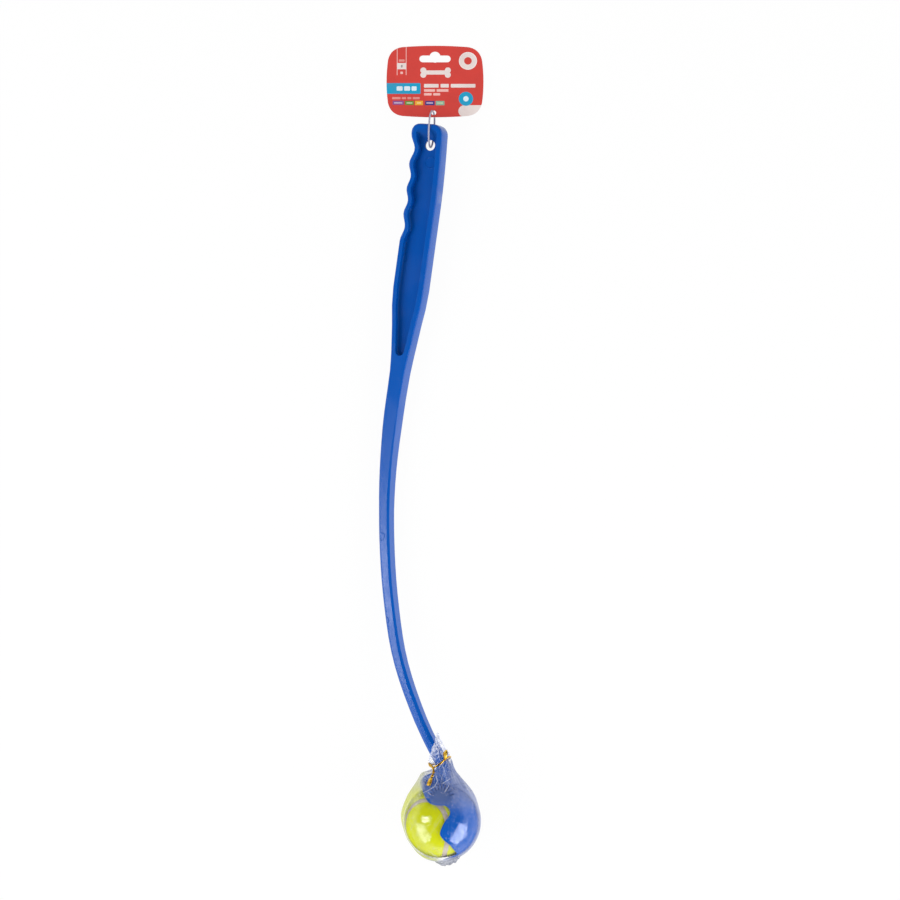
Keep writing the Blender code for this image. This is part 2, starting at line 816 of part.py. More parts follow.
def resting_turn():
    """The roll and pitch at which the wrapped ball, the shaft's bow and the grip all touch the table."""
    head = [p for ring in film_rings() for p in ring]
    heights = launcher_heights()
    grip = [p for h in heights if h > GRIP_STOPS[2][0] * TOP_HEIGHT for p in section_ring(h)]
    bow = [
        p
        for h in heights
        if SHAFT_STOPS[-1][0] * TOP_HEIGHT < h < SHAFT_STOPS[1][0] * TOP_HEIGHT
        for p in section_ring(h)
    ]

    def turned(roll, pitch):
        return Matrix.Rotation(-pitch, 3, "X") @ Matrix.Rotation(-roll, 3, "Y")

    def pitch_for(roll):
        return bisect(
            -math.radians(10.0),
            math.radians(15.0),
            lambda pitch: lowest(grip, turned(roll, pitch)) > lowest(head, turned(roll, pitch)),
        )

    def bow_too_high(roll):
        turn = turned(roll, pitch_for(roll))
        return lowest(bow, turn) > lowest(head, turn)

    roll = bisect(math.radians(2.0), math.radians(60.0), bow_too_high)
    pitch = pitch_for(roll)
    turn = turned(roll, pitch)
    print(f"rests at roll {math.degrees(roll):.3f} and pitch {math.degrees(pitch):.3f} degrees")
    return turn.to_4x4(), -lowest(head + bow + grip, turn)


def loop_path():
    """The loop's middle line in the plane across the mould, as (y, z): a half circle at the tag's end, then
    straight past the grip's end and a long half oval through the hanging hole."""
    far = TOP_HEIGHT + LOOP_REACH
    near = hole_place().y - LOOP_SLACK
    bend_middle = far - LOOP_BEND
    turn_start = TOP_HEIGHT - RIM_WIDTH
    path = []
    for i in range(17):
        angle = math.pi / 2 - math.pi * i / 16
        path.append((bend_middle + LOOP_BEND * math.cos(angle), LOOP_BEND * math.sin(angle)))
    for i in range(1, 16):
        angle = -math.pi / 2 - math.pi * i / 16
        path.append((turn_start + (turn_start - near) * math.cos(angle), LOOP_BEND * math.sin(angle)))
    path.insert(17, (turn_start, -LOOP_BEND))
    path.append((turn_start, LOOP_BEND))
    return path, bend_middle


def loop_frame():
    """The loop's place in the mould plane: at the hanging hole, leaning to the back and tilted upright."""
    hole = hole_place()
    lean = Matrix.Rotation(-math.radians(LOOP_LEAN_DEG), 4, "Z")
    tilt = Matrix.Rotation(math.radians(LOOP_TILT_DEG), 4, "Y")
    return Matrix.Translation((hole.x, hole.y, 0.0)) @ lean @ tilt


def make_tag_loop(parent, finish):
    """The plastic loop: a closed strand through the hanging hole and the tag. It swings about the hole."""
    path, _ = loop_path()
    hole = hole_place()
    hinge = empty("loop_hinge", loop_frame(), parent)
    points = [Vector((0.0, y - hole.y, z)) for y, z in path]
    side = Vector((1.0, 0.0, 0.0))
    rings = []
    for before, point, after in zip(points[-1:] + points, points, points[1:] + points[:1]):
        out = (after - before).normalized().cross(side)
        rings.append(
            [
                point + (side * math.cos(a) + out * math.sin(a)) * (LOOP_STRAND / 2)
                for a in (math.tau * i / 8 for i in range(8))
            ]
        )
    bm = loft(rings, closed=True, capped=False)
    return mesh_object("tag_loop", bm, finish, hinge, sharp_deg=60.0)


def tag_outline():
    """The card's outline: four crowned sides that run into large round corners."""
    wide, high = TAG_WIDTH / 2, TAG_HEIGHT / 2

    def side(y):
        return Vector((wide - TAG_SIDE_CROWN * (y / high) ** 2, y))

    def end(x):
        return Vector((x, high - TAG_END_CROWN * (x / wide) ** 2))

    corner = Vector((wide - TAG_SIDE_CROWN, high - TAG_END_CROWN))
    side_stop, end_stop = corner.y - TAG_CORNER, corner.x - TAG_CORNER
    quarter = [side(side_stop * i / 4) for i in range(4)]
    for i in range(9):
        share = i / 8
        first = side(side_stop).lerp(corner, share)
        second = corner.lerp(end(end_stop), share)
        quarter.append(first.lerp(second, share))
    quarter += [end(end_stop * (3 - i) / 4) for i in range(4)]
    outline = []
    for turn in range(4):
        signs = ((1, 1), (-1, 1), (-1, -1), (1, -1))[turn]
        corners = [(x * signs[0], y * signs[1]) for x, y in quarter]
        if turn % 2 == 1:
            corners.reverse()
        outline += corners[:-1]
    return outline


def make_hang_tag(hinge, finish):
    """The printed card. Its object's origin is on the loop's bend, about which the card swings."""
    half_card = CARD_THICKNESS / 2
    middle = Vector((TAG_SIDE_STEP, TAG_HEIGHT / 2 - TAG_HOLE_EDGE, 0.0))
    outline = [(x + middle.x, y + middle.y) for x, y in tag_outline()]
    card = mesh_object("hang_tag", prism(outline, -half_card, half_card), finish, hinge)
    slot_y = TAG_HEIGHT - TAG_HOLE_EDGE - SLOT_DROP
    reach, radius = SLOT_LENGTH / 2 - SLOT_WIDTH / 2, SLOT_WIDTH / 2
    slot = []
    for side in (1, -1):
        for i in range(9):
            angle = side * math.pi / 2 - math.pi * i / 8
            slot.append((middle.x + side * reach + radius * math.cos(angle), slot_y + radius * math.sin(angle)))
    deep = CUT_OVERRUN
    slot_cutter = mesh_object("slot_cutter", prism(slot, -deep, deep), parent=hinge)
    bump = cylinder_cutter(
        "slot_bump_cutter",
        SLOT_BUMP / 2,
        Vector((middle.x, slot_y + SLOT_BUMP_RISE, 0.0)),
        CUT_OVERRUN * 1.1,
        hinge,
        28,
    )
    hole_at = Vector((0.0, TAG_HOLE_SIDE, 0.0))
    hole = cylinder_cutter("tag_hole_cutter", TAG_HOLE / 2, hole_at, deep, hinge, 16)
    boolean(card, slot_cutter, "DIFFERENCE")
    boolean(card, bump, "DIFFERENCE")
    boolean(card, hole, "DIFFERENCE")
    return card


def place_tag(root, lying, finish):
    """Lays the card level on the loop's strand, with its far edge on the table."""
    _, bend_middle = loop_path()
    cross = math.radians(LOOP_CROSS_DEG)
    reach = bend_middle - hole_place().y + LOOP_BEND * math.cos(cross)
    strand = lying @ loop_frame() @ Vector((0.0, reach, -LOOP_BEND * math.sin(cross)))
    tilt = math.asin((strand.z - CARD_THICKNESS / 2) / (TAG_HEIGHT - TAG_HOLE_EDGE))
    hinge = empty("tag_hinge", Matrix.Translation(strand) @ Matrix.Rotation(-tilt, 4, "X"), root)
    return make_hang_tag(hinge, finish)


def centre_on_table(root):
    """Moves everything so that the middle of its footprint is over the origin."""
    bpy.context.view_layer.update()
    shapes = bpy.context.evaluated_depsgraph_get()
    pieces = [o for o in bpy.data.objects if o.type == "MESH" and not o.hide_render]
    corners = []
    for piece in pieces:
        shape = piece.evaluated_get(shapes)
        corners += [shape.matrix_world @ v.co for v in shape.data.vertices]
    for axis in (0, 1):
        places = [c[axis] for c in corners]
        root.location[axis] = -(min(places) + max(places)) / 2


def main():
    clear_scene()
    blue = material("blue_plastic", (0.01, 0.09, 0.5), 0.42)
    rubber = material("core_rubber", (0.08, 0.08, 0.08), 0.7)
    felt = material("yellow_felt", (0.55, 0.72, 0.03), 0.95)
    seam_rubber = material("seam_rubber", (0.62, 0.6, 0.5), 0.6)
    film = material("clear_film", (0.9, 0.92, 0.95), 0.12, alpha=0.25)
    foil = material("gold_foil", (0.85, 0.5, 0.08), 0.3, metallic=1.0)
    card = material("red_card", (0.7, 0.03, 0.02), 0.5)
    clear_plastic = material("clear_plastic", (0.85, 0.85, 0.88), 0.25)

    root = empty("ball_thrower", Matrix.Identity(4))
    turn, rise = resting_turn()
    lying = Matrix.Translation((0.0, 0.0, rise)) @ turn
    launcher_frame = empty("launcher_frame", lying, root)
    make_launcher(launcher_frame, blue)

    ball_turn = Euler([math.radians(a) for a in BALL_TURN_DEG]).to_matrix().to_4x4()
    ball_frame = empty("ball_frame", ball_turn, launcher_frame)
    make_core_half("ball_core_half_1", 1, ball_frame, rubber)
    make_core_half("ball_core_half_2", -1, ball_frame, rubber)
    make_felt_panel("ball_felt_panel_1", True, ball_frame, felt)
    make_felt_panel("ball_felt_panel_2", False, ball_frame, felt)
    make_seam(ball_frame, seam_rubber)

    make_film_bag(launcher_frame, film)
    make_twist_tie(launcher_frame, foil)
    make_tag_loop(launcher_frame, clear_plastic)
    place_tag(root, lying, card)
    centre_on_table(root)


main()
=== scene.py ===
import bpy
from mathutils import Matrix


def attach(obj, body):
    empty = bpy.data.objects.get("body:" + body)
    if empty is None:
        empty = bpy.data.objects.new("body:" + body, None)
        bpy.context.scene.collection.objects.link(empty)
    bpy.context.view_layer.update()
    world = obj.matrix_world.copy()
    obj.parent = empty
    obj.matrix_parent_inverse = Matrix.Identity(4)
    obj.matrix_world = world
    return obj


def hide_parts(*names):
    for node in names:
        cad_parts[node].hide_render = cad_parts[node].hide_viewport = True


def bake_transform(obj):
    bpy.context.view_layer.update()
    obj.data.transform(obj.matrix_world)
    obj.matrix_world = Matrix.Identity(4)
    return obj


bl_info = {
    "name": "Dog Ball Thrower",
    "version": (1, 0, 0),
    "blender": (4, 5, 0),
    "location": "3D View > Sidebar > Thrower",
    "description": "Dresses the bagged ball thrower and its hang tag",
    "category": "Object",
}

import math
from types import SimpleNamespace

import bpy
from mathutils import Matrix, Vector, noise

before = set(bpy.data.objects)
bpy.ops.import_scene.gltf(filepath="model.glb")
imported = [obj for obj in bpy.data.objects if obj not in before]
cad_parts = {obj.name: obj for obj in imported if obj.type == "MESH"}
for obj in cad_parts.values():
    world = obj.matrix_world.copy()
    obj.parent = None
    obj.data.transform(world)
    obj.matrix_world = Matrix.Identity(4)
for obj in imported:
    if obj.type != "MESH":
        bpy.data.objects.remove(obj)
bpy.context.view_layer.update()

MM = 0.001
UP = Vector((0.0, 0.0, 1.0))

# The launcher's own frame: its origin is the ball's middle, x runs from the cup's mouth to its back,
# y up the shaft and z out of the mould plane.
LYING = Matrix(
    (
        (0.9371957, 0.0, -0.3488040, 0.008288),
        (0.0095660, 0.9996238, 0.0257028, -0.326037),
        (0.3486728, -0.0274252, 0.9368431, 0.0353563),
        (0.0, 0.0, 0.0, 1.0),
    )
)
# The ball is turned in the cup, so that its seam shows as a hook.
BALL_FRAME = Matrix(
    (
        (0.9831907, -0.1792494, 0.034722, 0.008288),
        (0.0678438, 0.5352243, 0.841981, -0.326037),
        (-0.1695085, -0.8254722, 0.5383886, 0.0353563),
        (0.0, 0.0, 0.0, 1.0),
    )
)
# The card hangs from the loop: its origin is the loop's bend, with the card's face along x and y.
CARD_FRAME = Matrix(
    (
        (1.0, 0.0, 0.0, 0.0022947),
        (0.0, 0.9878516, 0.1554, 0.3008832),
        (0.0, -0.1554, 0.9878516, 0.0098226),
        (0.0, 0.0, 0.0, 1.0),
    )
)

# The ball, with its seam's half width and gap as turns about its middle. The seam's crown and sink and
# the felt's drop at its edge are in millimetres.
RADIUS_IN_MM = 32.3
BALL_RADIUS = RADIUS_IN_MM * MM
SEAM_HALF_TURN = 1.9 / RADIUS_IN_MM
GAP_TURN = 0.3 / RADIUS_IN_MM
SEAM_WAIST = 0.3
SEAM_CROWN = 0.25
SEAM_SINK = 0.5
FELT_TIP_TURN = 1e-4
FELT_TIP_SHARE = 0.992
FELT_EDGE_TURN = 0.05
FELT_EDGE_DROP = 0.5
FELT_FLUFF = 0.6
FELT_SINK = 0.05 * MM

# The bag: round the head it lies on a sphere, then it narrows over the shoulder to the gather. Each
# shoulder stop is y, half width, x and lean towards the gather, the lengths as shares of FILM_RADIUS.
CUP_OUTSIDE = 34.7 * MM
FILM_RADIUS = 35.75 * MM
SHOULDER = ((0.3, 0.955, 0.0, 0.0), (0.49, 0.895, 0.01, 0.0), (0.74, 0.775, 0.015, 0.0))
SHOULDER += ((0.985, 0.585, -0.015, 0.05), (1.235, 0.4, -0.05, 0.2))
GATHER_AT = Vector((-0.067, 52.101, 0.0)) * MM
GATHER_ACROSS = Vector((0.86637, 0.4994, 0.0))
GATHER_HEADING = Vector((-0.4994, 0.86637, 0.0))
GATHER_HALF = (9.2 * MM, 10.8 * MM)

# The gathered end above the tie. It stands at its least all round, with more at its peak on the front
# right, and its front swings over; these three are in millimetres.
TUFT_HEADING = Vector((-0.499, 0.868, 0.0))
TUFT_LEAST = 4.2
TUFT_MORE = 19.0
TUFT_SWING = 10.5
TUFT_LENGTH = 23.0 * MM
TUFT_PEAK = math.radians(65.0)
TUFT_SPREAD = math.radians(43.0)

# Levels up the bag, from 0 at its bottom and 1 at its shoulder.
AT_TIE = 2.0
AT_TUFT_END = 3.0
LOWEST_FILM = 0.02 * MM

# The crumpled seal along the bag's bottom: where it starts and how far it goes round, in degrees, then
# how deep it is tucked in, how far it stands off the head, its height and its slope, in millimetres.
SEAL_START = -99.0
SEAL_SPAN = 45.0
SEAL_TUCK = 0.9
SEAL_REACH = 5.2
SEAL_HEIGHT = 3.0
SEAL_SLOPE = 5.0

# The twist tie: its hanging end runs from the knot down over the film, and its leaf stands up. The
# points are in millimetres in the launcher's frame.
TIE_WIDTH = 2.8 * MM
TIE_OFF_FILM = 0.75 * MM
TIE_THICK = 0.5 * MM
TIE_LEG = [(-7.9, 50.4, 5.6), (-5.2, 48.9, 9.6), (-2.3, 46.8, 12.6), (-0.9, 43.7, 15.6), (-1.3, 40.2, 18.2)]
TIE_LEG += [(-1.7, 37.9, 20.2), (-1.9, 35.2, 22.4), (-2.2, 32.5, 24.5)]
TIE_LEAF = [(6.6, 54.4, 8.8), (7.6, 56.6, 10.2), (8.2, 59.0, 10.7), (8.6, 61.3, 10.3), (8.5, 63.0, 9.2)]

# The loop's strand is drawn in all round by this much, to stay clear of the hole's edge as it swings.
STRAND_SLACK = 0.1 * MM

# The round marks that ejector pins leave on the moulding: middle and radius in the launcher's frame.
PIN_LINE = 0.45 * MM
PIN_MARKS = (
    ((-9.3 * MM, 583.2 * MM, 1.2 * MM), 4.9 * MM),
    ((-36.0 * MM, 499.0 * MM, 1.2 * MM), 4.9 * MM),
    ((-53.4 * MM, 251.5 * MM, 7.7 * MM), 3.3 * MM),
    ((-49.4 * MM, 177.0 * MM, 7.7 * MM), 3.3 * MM),
)

# Creases in the film, whitened and with their highlights painted in, as start, end, half width and
# strength, in millimetres seen from above.
STREAK_WIDTH = 0.75
STREAK_STRENGTH = 0.85
FILM_STREAKS = (
    ((4.2, -284.8), (5.5, -289.2), 0.5, 0.75),
    ((5.5, -289.2), (3.3, -293.7), 0.45, 0.7),
    ((3.3, -293.7), (-1.1, -296.3), 0.45, 0.65),
    ((-1.1, -296.3), (-6.4, -299.0), 0.45, 0.55),
    ((10.4, -291.0), (16.6, -287.4), 0.5, 0.8),
    ((16.6, -287.4), (21.0, -285.8), 0.4, 0.45),
    ((12.2, -298.1), (15.7, -292.8), 0.45, 0.7),
    ((-2.4, -299.0), (-0.2, -300.8), 0.5, 0.85),
    ((8.6, -273.3), (14.0, -286.6), 0.45, 0.45),
    ((13.1, -275.0), (8.6, -289.3), 0.4, 0.4),
    ((15.7, -276.0), (18.4, -287.5), 0.4, 0.5),
    ((17.6, -279.5), (22.0, -290.5), 0.4, 0.35),
    ((13.1, -314.1), (-4.7, -340.7), 0.22, 0.4),
    ((9.1, -315.8), (-12.6, -349.6), 0.2, 0.25),
    ((-18.9, -333.6), (-12.6, -322.1), 0.25, 0.4),
    ((-14.8, -311.7), (-9.0, -306.2), 0.3, 0.4),
    ((21.5, -333.9), (26.0, -333.7), 0.25, 0.3),
    ((-3.0, -349.5), (6.0, -356.5), 0.3, 0.5),
    ((2.0, -347.0), (9.0, -352.0), 0.25, 0.4),
)
# Where the film lies against the cup's top: a greyed disc of painted shade and dull reflection, with
# painted pleat shadows like rays on its rim.
ROSETTE_CENTRE = (8.9 * MM, -304.0 * MM, 0.06)
ROSETTE_RADIUS = 9.6 * MM
ROSETTE_RAY = 4.6 * MM

# The card's plain print: ink, corner radius, then middle and half size of each patch, in millimetres.
CARD_PRINT = (
    ("pink", 0.1, ((-32.7, 50.9, 0.31, 16.16), (-24.7, 50.9, 0.31, 16.16))),
    ("paper", 0.2, ((-28.7, 43.0, 3.99, 2.87),)),
    ("rose", 0.3, ((-28.7, 48.1, 2.57, 0.99),)),
    ("grey", 0.3, ((-28.6, 42.9, 0.71, 1.17),)),
    ("pink", 0.3, ((-28.7, 36.9, 1.15, 1.08),)),
    ("white", 8.05, ((30.3, 47.8, 8.05, 8.05),)),
    ("paper", 7.4, ((30.3, 47.8, 7.4, 7.4),)),
    ("red", 3.4, ((30.3, 47.8, 3.4, 3.4),)),
    ("paper", 0.6, ((1.5, 37.2, 10.2, 1.89),)),
    ("paper", 2.6, tuple((x, y, 2.66, 2.6) for x in (-9.4, 12.4) for y in (39.2, 35.0))),
    ("teal", 0.8, ((-29.8, 22.6, 17.96, 4.94),)),
    ("ice", 0.8, ((-30.5, 22.6, 2.66, 1.98), (-23.8, 22.6, 2.66, 1.98), (-17.6, 22.6, 2.22, 1.98))),
    ("paper", 0.5, ((-2.3, 25.1, 6.48, 1.66), (9.6, 25.1, 3.64, 1.66), (26.0, 25.1, 10.95, 1.66))),
    ("pink", 0.4, ((-3.9, 20.8, 4.88, 1.17), (7.7, 20.8, 5.23, 1.17))),
    ("pink", 0.4, ((-5.4, 17.3, 3.37, 1.08), (2.5, 17.3, 3.1, 1.08))),
    ("rose", 0.4, ((-33.4, 13.8, 3.73, 0.99), (-26.6, 13.8, 1.86, 0.99))),
    ("rose", 0.4, ((-21.8, 13.8, 1.69, 0.99), (-15.7, 13.8, 3.1, 0.99))),
    ("violet", 0.3, ((-31.7, 9.6, 4.92, 1.84),)),
    ("green", 0.3, ((-21.7, 9.4, 3.86, 1.8),)),
    ("amber", 0.3, ((-13.2, 9.4, 3.55, 2.02),)),
    ("navy", 0.3, ((-3.6, 9.3, 4.21, 1.93),)),
    ("mint", 0.3, ((5.5, 9.3, 3.9, 1.98),)),
    ("lilac", 0.3, ((-31.7, 9.5, 3.64, 0.63), (-3.7, 9.4, 2.93, 0.63))),
    ("pale_green", 0.3, ((-21.7, 9.4, 2.62, 0.63), (5.5, 9.3, 2.57, 0.63))),
    ("pale_amber", 0.3, ((-13.2, 9.4, 1.95, 0.63),)),
    ("paper", 5.4, ((35.8, 2.0, 14.0, 5.4),)),
    ("teal", 6.4, ((28.5, 13.2, 6.4, 6.4),)),
    ("ice", 2.4, ((28.5, 13.2, 2.4, 2.4),)),
)
CARD_INKS = {
    "white": (246, 240, 238),
    "paper": (234, 222, 218),
    "pink": (244, 190, 184),
    "rose": (232, 150, 142),
    "grey": (160, 150, 150),
    "ice": (222, 238, 246),
    "lilac": (196, 176, 206),
    "pale_green": (190, 216, 172),
    "pale_amber": (252, 222, 150),
    "red": (216, 66, 58),
    "teal": (0, 162, 204),
    "violet": (142, 84, 150),
    "green": (98, 152, 58),
    "amber": (246, 178, 50),
    "navy": (62, 60, 136),
    "mint": (140, 182, 158),
}

# The lamps: name, place, what they point at, width and height in metres, and watts.
LAMPS = (
    ("left_softbox", (-1.28, -1.07, 0.86), (0.0, -0.3, 0.03), (1.4, 0.85), 12.5),
    ("right_softbox", (1.42, -1.2, 0.74), (0.0, -0.3, 0.03), (1.6, 1.15), 26.0),
    ("shaft_softbox", (-1.03, -0.12, 1.15), (-0.04, -0.131, 0.03), (0.2, 0.4), 3.1),
)
WHITE = (1.0, 1.0, 1.0, 1.0)
ROOM_LIGHT = 0.76
FLOOR_SIZE = 8.0
FLOOR_PLACE = (0.0, 0.0, -0.2 * MM)
FLOOR_GLOW = 0.95
CAMERA_PLACE = (0.01663, 0.00171, 4.0)
CAMERA_LENS = 179.6


def smooth(share):
    share = min(max(share, 0.0), 1.0)
    return share * share * (3.0 - 2.0 * share)


def rough(point, scale, seed=0.0):
    """Steady noise from -1 to 1 at a place in metres; scale is the size of its waves."""
    return noise.noise(point / scale + Vector((seed, seed * 1.7, seed * 0.6)))


def rgb(red, green, blue):
    """A colour as it shows on a screen, from 0 to 255, as the linear one that a shader reads."""
    linear = []
    for level in (red, green, blue):
        share = level / 255.0
        linear.append(share / 12.92 if share <= 0.04045 else ((share + 0.055) / 1.055) ** 2.4)
    return (*linear, 1.0)


def toned(colour, *shares):
    """A colour with its red, green and blue multiplied, by one share or by three."""
    shares = shares * 3 if len(shares) == 1 else shares
    return [min(level * share, 1.0) for level, share in zip(colour, shares)] + [1.0]


# Mesh helpers


def clear_selection():
    if bpy.context.object and bpy.context.object.mode != "OBJECT":
        bpy.ops.object.mode_set(mode="OBJECT")
    bpy.ops.object.select_all(action="DESELECT")


def pick(thing):
    """Makes this the one selected and active object."""
    clear_selection()
    thing.hide_set(False)
    thing.select_set(True)
    bpy.context.view_layer.objects.active = thing
    return thing


def edit_whole(thing, *steps):
    """Takes edit mode steps on all of a mesh: each is an operator and its values."""
    pick(thing)
    bpy.ops.object.mode_set(mode="EDIT")
    bpy.ops.mesh.select_all(action="SELECT")
    for step, values in steps:
        step(**values)
    bpy.ops.object.mode_set(mode="OBJECT")


def tidy_mesh(thing, outward=True):
    """Merges the doubles and turns the faces outwards."""
    near = {"threshold": 0.005 * MM}
    steps = [(bpy.ops.mesh.remove_doubles, near), (bpy.ops.mesh.dissolve_degenerate, near)]
    if outward:
        steps.append((bpy.ops.mesh.normals_make_consistent, {"inside": False}))
    edit_whole(thing, *steps)


def apply_modifiers(thing):
    pick(thing)
    for modifier in list(thing.modifiers):
        bpy.ops.object.modifier_apply(modifier=modifier.name)


def soft_shading(thing, degrees):
    pick(thing)
    bpy.ops.object.shade_smooth_by_angle(angle=math.radians(degrees))


def laid_grid(name, columns, rows, place, notes=()):
    """A grid primitive whose points are laid out by place(u, v), with u and v from 0 to 1.

    Notes are (attribute, kind, read(u, v)) for what the material reads along the surface.
    """
    clear_selection()
    bpy.ops.mesh.primitive_grid_add(x_subdivisions=columns, y_subdivisions=rows, size=1.0)
    thing = bpy.context.object
    thing.name = thing.data.name = name
    spots = [(vertex.co.x + 0.5, vertex.co.y + 0.5) for vertex in thing.data.vertices]
    for attribute, kind, read in notes:
        layer = thing.data.attributes.new(attribute, kind, "POINT")
        field = "vector" if kind == "FLOAT_VECTOR" else "value"
        for entry, (u, v) in zip(layer.data, spots):
            setattr(entry, field, read(u, v))
    for vertex, (u, v) in zip(thing.data.vertices, spots):
        vertex.co = place(u, v)
    tidy_mesh(thing)
    return thing


def face_out(thing, middle_of):
    """Turns an open shell's faces away from the line that middle_of(point) gives."""
    outward = 0.0
    for face in thing.data.polygons:
        outward += face.area * face.normal.dot(face.center - middle_of(face.center))
    if outward < 0.0:
        edit_whole(thing, (bpy.ops.mesh.flip_normals, {}))
    return thing


def joined(name, pieces):
    """Joins pieces into one object."""
    clear_selection()
    for piece in pieces:
        piece.select_set(True)
    bpy.context.view_layer.objects.active = pieces[0]
    bpy.ops.object.join()
    whole = bpy.context.object
    whole.name = whole.data.name = name
    return whole


def curve(p0, p1, p2, p3, t):
    """A smooth curve through p1 and p2."""
    a = 2 * p1 + (p2 - p0) * t
    b = (2 * p0 - 5 * p1 + 4 * p2 - p3) * t * t
    c = (3 * p1 - p0 - 3 * p2 + p3) * t * t * t
    return 0.5 * (a + b + c)


def along(track, share):
    """The place at a share of the way along a list of points, on a smooth curve through them."""
    spot = min(max(share, 0.0), 1.0) * (len(track) - 1)
    i = min(int(spot), len(track) - 2)
    before, after = track[max(i - 1, 0)], track[min(i + 2, len(track) - 1)]
    return curve(before, track[i], track[i + 1], after, spot - i)


def ribbon(name, columns, rows, track, section, closed=False):
    """A closed ribbon along track(v). section(v) gives half width, half thickness, roll and up."""
    rounded_rows = 2.5

    def place(u, v):
        step = 0.5 / rows
        ahead, behind = v + step, v - step
        if closed:
            ahead, behind = ahead % 1.0, behind % 1.0
        else:
            ahead, behind = min(ahead, 1.0), max(behind, 0.0)
        heading = (track(ahead) - track(behind)).normalized()
        wide, thick, roll, up = section(v)
        side = heading.cross(up).normalized()
        out = side.cross(heading)
        across = side * math.cos(roll) + out * math.sin(roll)
        upward = out * math.cos(roll) - side * math.sin(roll)
        if not closed:
            end = min(v, 1.0 - v) * rows / rounded_rows
            shrink = math.sqrt(max(1.0 - (1.0 - min(end, 1.0)) ** 2, 0.0))
            wide, thick = wide * shrink, thick * shrink
        turn = math.tau * u
        return track(v) + across * wide * math.cos(turn) + upward * thick * math.sin(turn)

    return laid_grid(name, columns, rows, place)


def from_node(name, node):
    """A merged copy of a solid's mesh, to be finished finer."""
    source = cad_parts[node]
    clear_selection()
    copy = bpy.data.objects.new(name, source.data.copy())
    copy.data.name = name
    bpy.context.scene.collection.objects.link(copy)
    copy.data.materials.clear()
    for key in list(copy.keys()):
        del copy[key]
    tidy_mesh(copy, outward=False)
    return copy


def seat(thing, matrix):
    """Puts a piece that was made in its own frame in its place, with that place in its mesh."""
    thing.matrix_world = matrix
    pick(thing)
    bpy.ops.object.transform_apply(location=True, rotation=True, scale=True)
    return thing


def finish_piece(thing, material, body=None, nodes=()):
    """Gives a piece its material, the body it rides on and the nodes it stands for."""
    thing.data.materials.clear()
    thing.data.materials.append(material)
    if body:
        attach(thing, body)
    if nodes:
        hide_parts(*nodes)


# Shader helpers


def feed(node, values):
    """Sets a node's sockets from {socket: value}; a value that is a node's output is linked."""
    for key, value in values.items():
        if isinstance(value, bpy.types.NodeSocket):
            node.id_data.links.new(value, node.inputs[key])
        else:
            node.inputs[key].default_value = value
    return node


def add_node(tree, kind, values=None, **settings):
    made = tree.nodes.new(kind)
    for key, value in settings.items():
        setattr(made, key, value)
    return feed(made, values or {})


def tree_of(*values):
    """The node tree that the first node's output among the values is in."""
    return next(value.id_data for value in values if isinstance(value, bpy.types.NodeSocket))


def calc(operation, first, second=0.0, clamp=False):
    settings = {"operation": operation, "use_clamp": clamp}
    return add_node(tree_of(first, second), "ShaderNodeMath", {0: first, 1: second}, **settings).outputs[0]


def plus(first, second, clamp=False):
    return calc("ADD", first, second, clamp)


def minus(first, second, clamp=False):
    return calc("SUBTRACT", first, second, clamp)


def times(first, *others):
    for other in others:
        first = calc("MULTIPLY", first, other)
    return first


def larger(first, *others):
    for other in others:
        first = calc("MAXIMUM", first, other)
    return first


def distance_from(value, middle):
    return calc("ABSOLUTE", minus(value, middle))


def length_of(x, y):
    return calc("SQRT", plus(times(x, x), times(y, y)))


def vector_calc(operation, first, second=(0.0, 0.0, 0.0)):
    tree = tree_of(first, second)
    made = add_node(tree, "ShaderNodeVectorMath", {0: first, 1: second}, operation=operation)
    return made.outputs["Value" if operation in ("DISTANCE", "DOT_PRODUCT") else "Vector"]


def split(vector):
    """The x, y and z of a vector."""
    return add_node(tree_of(vector), "ShaderNodeSeparateXYZ", {0: vector}).outputs


def ramp(value, low, high, start=0.0, end=1.0):
    """Maps value from low..high to start..end, smoothly."""
    values = {"Value": value, "From Min": low, "From Max": high, "To Min": start, "To Max": end}
    made = add_node(tree_of(value), "ShaderNodeMapRange", values, interpolation_type="SMOOTHSTEP")
    return made.outputs["Result"]


def mix_colour(share, first, second):
    made = add_node(tree_of(share), "ShaderNodeMix", data_type="RGBA")
    return feed(made, {0: share, 6: first, 7: second}).outputs[2]


def noise_of(vector, scale, detail=3.0, roughness=0.5, distortion=0.0):
    values = {
        "Vector": vector,
        "Scale": scale,
        "Detail": detail,
        "Roughness": roughness,
        "Distortion": distortion,
    }
    return add_node(tree_of(vector), "ShaderNodeTexNoise", values).outputs[0]


def object_place(tree, frame_matrix=None, vector=None):
    """Object coordinates, or the given ones, turned into a piece's own frame where one is given."""
    if vector is None:
        vector = add_node(tree, "ShaderNodeTexCoord").outputs["Object"]
    if frame_matrix is None:
        return vector
    back = frame_matrix.inverted()
    values = {"Vector": vector, "Location": back.translation, "Rotation": back.to_euler("XYZ")}
    return add_node(tree, "ShaderNodeMapping", values).outputs[0]


def bump(height, distance, strength=1.0, normal=None):
    """A bump's normal, on top of another normal where one is given."""
    values = {"Height": height, "Distance": distance, "Strength": strength}
    if normal is not None:
        values["Normal"] = normal
    return add_node(tree_of(height), "ShaderNodeBump", values).outputs[0]


def empty_tree(owner):
    """The cleared node tree of a material or a world."""
    owner.use_nodes = True
    owner.node_tree.nodes.clear()
    return owner.node_tree


def new_material(name):
    made = bpy.data.materials.new(name)
    tree = empty_tree(made)
    surface = add_node(tree, "ShaderNodeBsdfPrincipled")
    add_node(tree, "ShaderNodeOutputMaterial", {"Surface": surface.outputs[0]})
    return made, tree, surface


